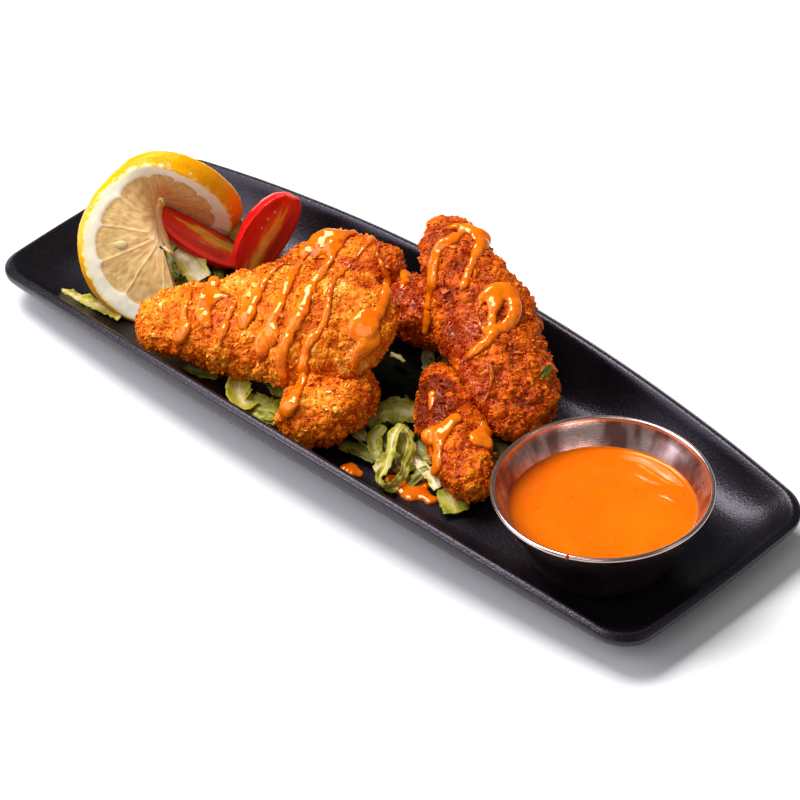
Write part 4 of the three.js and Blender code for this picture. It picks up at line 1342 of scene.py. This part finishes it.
def plate_look():
    """Black glaze with fine pits."""
    look = Look("glaze_black", **{"IOR": 1.5, "Specular IOR Level": 0.38,
                                 "Specular Tint": (0.92, 0.82, 1.0)})
    pits = look.voronoi(1.1)
    grain = look.noise(0.45, 3, 0.6)
    patches = look.noise(38, 3, 0.55)
    base = look.mix(look.fit(patches, 0.35, 0.7), (0.0028, 0.0022, 0.0032), (0.0055, 0.0046, 0.0066))
    rough = look.plus(look.swing(patches, 0.25, 0.33), look.swing(grain, -0.06, 0.07))
    height = look.plus(look.fit(pits, 0.0, 0.5, -0.6, 0), grain)
    look.set(**{"Base Color": base, "Roughness": rough, "Normal": look.bump(height, 0.6, 0.14)})
    return look.material


def steel_look():
    """Spun steel, tinted pink as a painted reflection of the dip, with painted upright reflections on the
    inside and painted shade at its left and right.
    """
    look = Look("steel_satin", Metallic=1.0)
    stretched = look.place((1, 1, 14))
    lines = look.noise(2.6, 3, 0.6, vector=stretched)
    smear = look.noise(16, 3, 0.5)
    # The steel's pink tint is a painted reflection of the orange dip.
    base = look.mix(look.swing(smear), srgb(186, 160, 154), srgb(212, 186, 178))
    inside = look.mark("inside")
    # Painted reflections: upright light and dark streaks on the inside.
    upright = look.noise(7, 2, 0.5, vector=look.place((1, 1, 0.04)))
    streaks = look.mix(look.fit(upright, 0.38, 0.6), srgb(160, 118, 110), srgb(255, 232, 224))
    base = look.mix(inside, base, streaks)
    # Painted shade on the inside where it is seen side-on, at its left and right.
    base = look.mix(look.times(look.mark("flank_shade"), 0.55), base, srgb(96, 80, 78))
    rough = look.plus(look.swing(lines, 0.16, 0.25), look.times(inside, 0.06))
    look.set(**{"Base Color": base, "Roughness": rough, "Normal": look.bump(lines, 0.06, 0.05)})
    return look.material


def dip_look():
    """Smooth orange sauce with a few red specks."""
    look = Look("dip_orange", **{"Subsurface Weight": 0.25, "Subsurface Scale": 0.003,
                                 "Coat Weight": 0.05, "Coat Roughness": 0.06, "IOR": 1.45,
                                 "Specular IOR Level": 0.6, "Specular Tint": (1.0, 0.7, 0.22),
                                 "Subsurface Radius": (1.0, 0.35, 0.08)})
    cloud = look.noise(14, 3, 0.55, 0.6)
    base = look.mix(look.swing(cloud), srgb(235, 104, 0), srgb(242, 116, 0))
    # Painted shade where the dip meets the wall.
    base = look.mix(look.times(look.mark("shade"), 0.95), base, srgb(150, 52, 0))
    # Few of the cells have a red speck.
    specks, chance = look.voronoi(2.1), look.voronoi(2.1, "Color")
    few = look.math("GREATER_THAN", look.node("ShaderNodeSeparateColor", {"Color": chance}), 0.86)
    dot = look.times(look.fit(specks, 0.09, 0.15, 1.0, 0.0), few)
    base = look.mix(dot, base, srgb(150, 34, 8))
    fine = look.noise(1.2, 3, 0.6)
    look.set(**{"Base Color": base, "Roughness": look.swing(fine, 0.12, 0.2),
                "Normal": look.bump(fine, 0.08, 0.06)})
    return look.material


def crust_look():
    """Fried crust: light on top of its crumbs and brown between them, partly as painted shade, darker with
    painted shade from the deep mark, and red where sauce has soaked in.
    """
    look = Look("crust_fried", **{"Subsurface Weight": 0.12, "Subsurface Scale": 0.0012, "IOR": 1.45,
                                 "Specular IOR Level": 0.35, "Specular Tint": (1.0, 0.76, 0.42),
                                 "Subsurface Radius": (1.0, 0.4, 0.12), "Coat Roughness": 0.12})
    tone = look.mark("tone")
    wet = look.mark("wet")
    patches = look.noise(9, 3, 0.55)
    fine = look.noise(0.7, 3, 0.65)
    shade = look.plus(tone, look.fit(patches, 0.25, 0.75, -0.2, 0.2))
    shade = look.plus(shade, look.swing(fine, -0.1, 0.1))
    # The deep mark is painted shade: low down, between the pieces and on whole pieces in less light, partly
    # also a deeper fry.
    shade = look.minus(shade, look.mark("deep"))
    base = look.ramp(shade, [
        (0.0, srgb(108, 26, 0)), (0.22, srgb(170, 52, 0)), (0.45, srgb(214, 90, 0)),
        (0.68, srgb(238, 134, 14)), (0.86, srgb(251, 176, 58)), (1.0, srgb(255, 220, 142))])
    soaked = look.mix(1.0, base, (0.72, 0.36, 0.16), "MULTIPLY")
    soaked = look.mix(0.35, soaked, srgb(170, 50, 2))
    base = look.mix(look.times(wet, 0.85), base, soaked)
    rough = look.minus(look.swing(fine, 0.42, 0.62), look.times(wet, 0.32))
    look.set(**{"Base Color": base, "Roughness": rough,
                "Coat Weight": look.times(wet, 0.14),
                "Normal": look.bump(fine, 0.5, 0.25)})
    return look.material


def sauce_look():
    """Glossy orange sauce, redder where it is thin."""
    look = Look("sauce_orange", **{"Subsurface Weight": 0.12, "Subsurface Scale": 0.001,
                                   "Coat Weight": 0.12, "Coat Roughness": 0.05, "IOR": 1.45,
                                   "Specular IOR Level": 0.8, "Specular Tint": (1.0, 0.78, 0.42),
                                   "Subsurface Radius": (1.0, 0.3, 0.06)})
    cloud = look.noise(5, 3, 0.55, 0.4)
    fine = look.noise(0.9, 2, 0.5)
    base = look.mix(look.swing(cloud), srgb(222, 94, 0), srgb(244, 128, 0))
    base = look.mix(look.fit(look.mark("deep"), 0.15, 0.95, 1.0, 0.0), base, srgb(150, 38, 0))
    look.set(**{"Base Color": base, "Roughness": look.swing(cloud, 0.07, 0.14),
                "Normal": look.bump(fine, 0.08, 0.1)})
    return look.material


def lemon_look():
    """Pulp with its membranes, pith, and rind with pores."""
    look = Look("lemon_flesh", **{"Subsurface Weight": 0.4, "Subsurface Scale": 0.003, "IOR": 1.4,
                                 "Specular IOR Level": 0.35, "Specular Tint": (1.0, 0.86, 0.5),
                                 "Subsurface Radius": (1.0, 0.8, 0.35)})
    names = ("phase", "reach", "wall", "pulp", "rind")
    phase, reach, wall, pulp_in, rind_out = (look.mark(name) for name in names)
    wobble = look.noise(2.6, 3, 0.6)
    sway = look.swing(wobble, -0.5, 0.5)
    # Juice sacs run out from the middle between the membranes.
    fan = look.vector(look.times(phase, 4.2), look.times(reach, 0.16))
    fibres = look.fibres(fan, 2.0)
    sacs = look.node("ShaderNodeTexVoronoi", {"Vector": fan, "Scale": 1.1, "Randomness": 0.9},
                     out="Distance", feature="DISTANCE_TO_EDGE")
    membrane = look.fit(wall, 0.08, 0.42, 1.0, 0.0)
    pulp = look.ramp(fibres, [
        (0.3, srgb(222, 172, 106)), (0.5, srgb(246, 204, 140)), (0.7, srgb(255, 230, 178))])
    pulp = look.mix(look.fit(look.noise(7, 3, 0.5), 0.35, 0.65, 0.0, 0.4), pulp, srgb(222, 182, 108))
    pulp = look.mix(look.fit(sacs, 0.0, 0.09, 0.4, 0.0), pulp, srgb(246, 220, 160))
    # Out towards the rind the pulp is greyer and darker: painted shade, for the dark plate seen through the
    # thin pulp.
    outer = look.mix(look.fit(fibres, 0.35, 0.65), srgb(186, 156, 94), srgb(226, 194, 130))
    pulp = look.mix(look.times(look.fit(reach, 7.0, 17.0), 0.5), pulp, outer)
    # Near the middle the pulp is paler cream: partly the slice's pale centre and partly painted light on
    # the fold's cut wall, which faces away from the lamps.
    pulp = look.mix(look.fit(reach, 6.0, 1.0, 0.0, 0.55), pulp, srgb(246, 230, 178))
    pulp = look.mix(look.times(membrane, 0.3), pulp, srgb(248, 230, 180))
    pith = look.mix(look.swing(wobble), srgb(244, 236, 210), srgb(252, 247, 228))
    to_pith = look.fit(look.plus(pulp_in, look.times(sway, 0.5)), -0.15, 0.45, 1.0, 0.0)
    to_pith = look.math("MAXIMUM", to_pith, look.fit(reach, 0.5, 1.4, 0.7, 0.0))
    face = look.mix(to_pith, pulp, pith)
    out = look.plus(rind_out, look.times(sway, 1.3))
    rind_share = look.fit(out, 0.0, 0.5)
    pores = look.voronoi(1.15)
    blotch = look.noise(8, 3, 0.5)
    rind = look.mix(look.swing(blotch), srgb(240, 160, 0), srgb(251, 178, 0))
    rind = look.mix(look.fit(pores, 0.0, 0.35, 0.35, 0.0), rind, srgb(214, 128, 0))
    base = look.mix(look.fit(out, -1.2, 0.3, 0.0, 0.6), face, srgb(250, 214, 84))
    base = look.mix(rind_share, base, rind)
    height = look.times(look.fit(pores, 0.0, 0.4, -0.9, 0.0), rind_share)
    flesh_height = look.plus(look.times(membrane, 0.5), look.times(fibres, 0.7))
    flesh_height = look.times(flesh_height, look.minus(1.0, to_pith))
    height = look.plus(height, look.times(look.minus(1.0, rind_share), flesh_height))
    rough = look.mix(to_pith, (0.24, 0.24, 0.24), (0.55, 0.55, 0.55))
    rough = look.mix(rind_share, rough, (0.36, 0.36, 0.36))
    look.set(**{"Base Color": base, "Roughness": rough, "Normal": look.bump(height, 0.5, 0.25)})
    return look.material


def seed_look(name, low, high):
    """A pale seed."""
    look = Look(name, **{"Subsurface Weight": 0.3, "Subsurface Scale": 0.001})
    grain = look.noise(0.8, 3, 0.6)
    base = look.mix(look.swing(grain), low, high)
    look.set(**{"Base Color": base, "Roughness": look.swing(grain, 0.25, 0.4),
                "Normal": look.bump(grain, 0.3, 0.1)})
    return look.material


def tomato_look():
    """Red flesh that is yellow at the core, darker jelly, and glossy skin."""
    look = Look("tomato_red", **{"Subsurface Weight": 0.15, "Subsurface Scale": 0.0015, "IOR": 1.42,
                                 "Specular IOR Level": 0.3, "Subsurface Radius": (1.0, 0.2, 0.1)})
    skin, from_core, jelly = look.mark("skin"), look.mark("from_core"), look.mark("jelly")
    grain = look.vector(look.times(look.mark("along"), 0.16), look.mark("over"), look.mark("beside"))
    streaks = look.fibres(grain, 0.6)
    fine = look.noise(0.7, 3, 0.6)
    away = look.plus(from_core, look.swing(streaks, -1.6, 1.6))
    flesh = look.ramp(look.fit(away, 0.6, 9.6), [
        (0.0, srgb(255, 222, 90)), (0.15, srgb(255, 190, 56)), (0.27, srgb(234, 92, 40)),
        (0.42, srgb(238, 38, 26)), (1.0, srgb(220, 14, 22))])
    flesh = look.mix(look.fit(streaks, 0.52, 0.7, 0.0, 0.35), flesh, srgb(246, 104, 70))
    flesh = look.mix(look.times(jelly, 0.65), flesh, srgb(164, 4, 8))
    # The lower cut face is pinker: a painted sheen on that face.
    flesh = look.mix(look.fit(look.mark("over"), -1.5, -4.0, 0.0, 0.3), flesh, srgb(236, 96, 66))
    flesh = look.mix(look.times(look.mark("bright"), 0.5), flesh, srgb(255, 56, 36))
    outside = look.mix(look.swing(streaks), srgb(216, 12, 14), srgb(240, 30, 20))
    look.set(**{"Base Color": look.mix(skin, flesh, outside),
                "Roughness": look.mix(skin, (0.36, 0.36, 0.36), (0.16, 0.16, 0.16)),
                "Normal": look.bump(look.plus(fine, streaks), 0.2, 0.15)})
    return look.material


def leaf_look():
    """Lettuce, from a pale rib to a green edge, with veins along it."""
    look = Look("lettuce_leaf", **{"Subsurface Weight": 0.2, "Subsurface Scale": 0.001, "IOR": 1.4,
                                   "Specular IOR Level": 0.35, "Subsurface Radius": (0.8, 1.0, 0.3)})
    green, dim, tint, edge, rib = (look.mark(name) for name in ("green", "dim", "tint", "edge", "rib"))
    along = look.times(look.mark("along"), 0.16)
    veins = look.fibres(look.vector(look.mark("across"), along, look.times(tint, 40.0)), 2.1)
    patches = look.noise(5, 3, 0.55)
    share = look.plus(green, look.times(edge, 0.2))
    share = look.plus(share, look.swing(patches, -0.18, 0.18))
    share = look.minus(share, look.times(rib, 0.3))
    share = look.plus(share, look.fit(tint, 0.0, 1.0, -0.06, 0.06))
    base = look.ramp(share, [
        (0.0, srgb(232, 218, 186)), (0.25, srgb(204, 188, 104)), (0.45, srgb(180, 168, 44)),
        (0.7, srgb(138, 136, 12)), (1.0, srgb(80, 90, 6))])
    base = look.mix(look.fit(veins, 0.5, 0.72, 0.0, 0.35), base, srgb(226, 208, 136))
    base = look.mix(look.fit(veins, 0.5, 0.3, 0.0, 0.45), base, srgb(92, 104, 10))
    # Painted shade: dim shreds, deep in the heap or among the food, are darkened.
    base = look.mix(look.times(dim, 0.8), base, srgb(30, 32, 10))
    look.set(**{"Base Color": base, "Roughness": look.swing(veins, 0.32, 0.45),
                "Normal": look.bump(veins, 0.5, 0.3)})
    return look.material


def core_shade_look():
    """The near black under the heap, a painted shade."""
    look = Look("lettuce_under_shade", Roughness=0.9, **{"Specular IOR Level": 0.05})
    patches = look.noise(4, 3, 0.6)
    look.set(**{"Base Color": look.mix(look.fit(patches, 0.35, 0.65), srgb(3, 4, 2), srgb(12, 14, 6)),
                "Normal": look.bump(patches, 0.5, 1.0)})
    return look.material


# ------------------------------------------------------------------ floor, light, camera


def softbox(name, place, aim, size, power, colour=(1, 1, 1)):
    """A lamp with a flat face that looks at a point."""
    light = bpy.data.lights.new(name, "AREA")
    light.shape = "RECTANGLE"
    light.size, light.size_y = size
    light.energy = power
    light.color = colour
    lamp = bpy.data.objects.new(name, light)
    lamp.location = place
    lamp.rotation_mode = "QUATERNION"
    lamp.rotation_quaternion = (Vector(place) - Vector(aim)).to_track_quat("Z", "Y")
    bpy.context.scene.collection.objects.link(lamp)


def round_about(azimuth, elevation, distance):
    """A place in metres round the dish; azimuth 0 is in front of it and 90 to its right."""
    return tuple((distance * direction(azimuth, elevation)).tolist())


def make_stage():
    """The floor, the lamps and the camera, which aren't part of the dish."""
    floor_look = Look("floor_pale", Roughness=0.9, **{"Specular IOR Level": 0.1})
    mottle = floor_look.noise(400, 2, 0.4)
    base = floor_look.mix(floor_look.swing(mottle), (0.86, 0.86, 0.87), (0.9, 0.9, 0.91))
    floor_look.set(**{"Base Color": base})
    corners = np.array([(-4, -4, 0), (4, -4, 0), (4, 4, 0), (-4, 4, 0)])
    mesh = bpy.data.meshes.new("floor")
    mesh.from_pydata(corners.tolist(), [], [(0, 1, 2, 3)])
    mesh.materials.append(floor_look.material)
    floor = bpy.data.objects.new("floor", mesh)
    bpy.context.scene.collection.objects.link(floor)

    world = bpy.data.worlds.new("studio")
    bpy.context.scene.world = world
    world.use_nodes = True
    back = world.node_tree.nodes["Background"]
    back.inputs["Color"].default_value = (0.95, 0.97, 1.0, 1)
    back.inputs["Strength"].default_value = 0.16

    softbox("main", (-0.58, -0.10, 1.25), (-0.02, 0, 0.02), (0.7, 0.7), 25, (1.0, 0.985, 0.98))
    softbox("side", (-0.85, -0.88, 0.88), (-0.02, 0, 0.02), (1.1, 0.8), 10, (0.93, 0.89, 1.0))
    softbox("right", round_about(115, 38, 1.5), (0, 0, 0.02), (0.4, 0.8), 1.2, (1.0, 0.97, 0.95))
    softbox("low", (-0.87, -1.3, 0.42), (-0.02, 0, 0.02), (1.1, 0.4), 2.5, (0.88, 0.84, 1.0))
    softbox("front", round_about(25, 48, 1.6), (0, 0, 0.02), (0.8, 0.6), 3.2)

    camera = bpy.data.cameras.new("camera")
    camera.lens, camera.sensor_width = LENS, SENSOR
    camera.clip_start, camera.clip_end = 0.05, 20
    holder = bpy.data.objects.new("camera", camera)
    rows = np.stack([RIGHT, UP, BACKWARD, EYE * MM], 1).tolist()
    holder.matrix_world = Matrix([*rows, (0, 0, 0, 1)])
    bpy.context.scene.collection.objects.link(holder)
    bpy.context.scene.camera = holder
    bpy.context.scene.view_settings.view_transform = "Standard"


make_plate(plate_look())
make_cup(steel_look())
make_dip(dip_look())
crust = make_fingers(crust_look())
make_sauce(crust, sauce_look())
make_lemon(lemon_look(), seed_look("lemon_seed", srgb(196, 178, 112), srgb(222, 206, 150)))
make_tomatoes(tomato_look(), seed_look("tomato_seed", srgb(226, 176, 84), srgb(242, 208, 130)))
green = leaf_look()
make_lettuce(green, core_shade_look())
make_herb(crust, green)
make_stage()
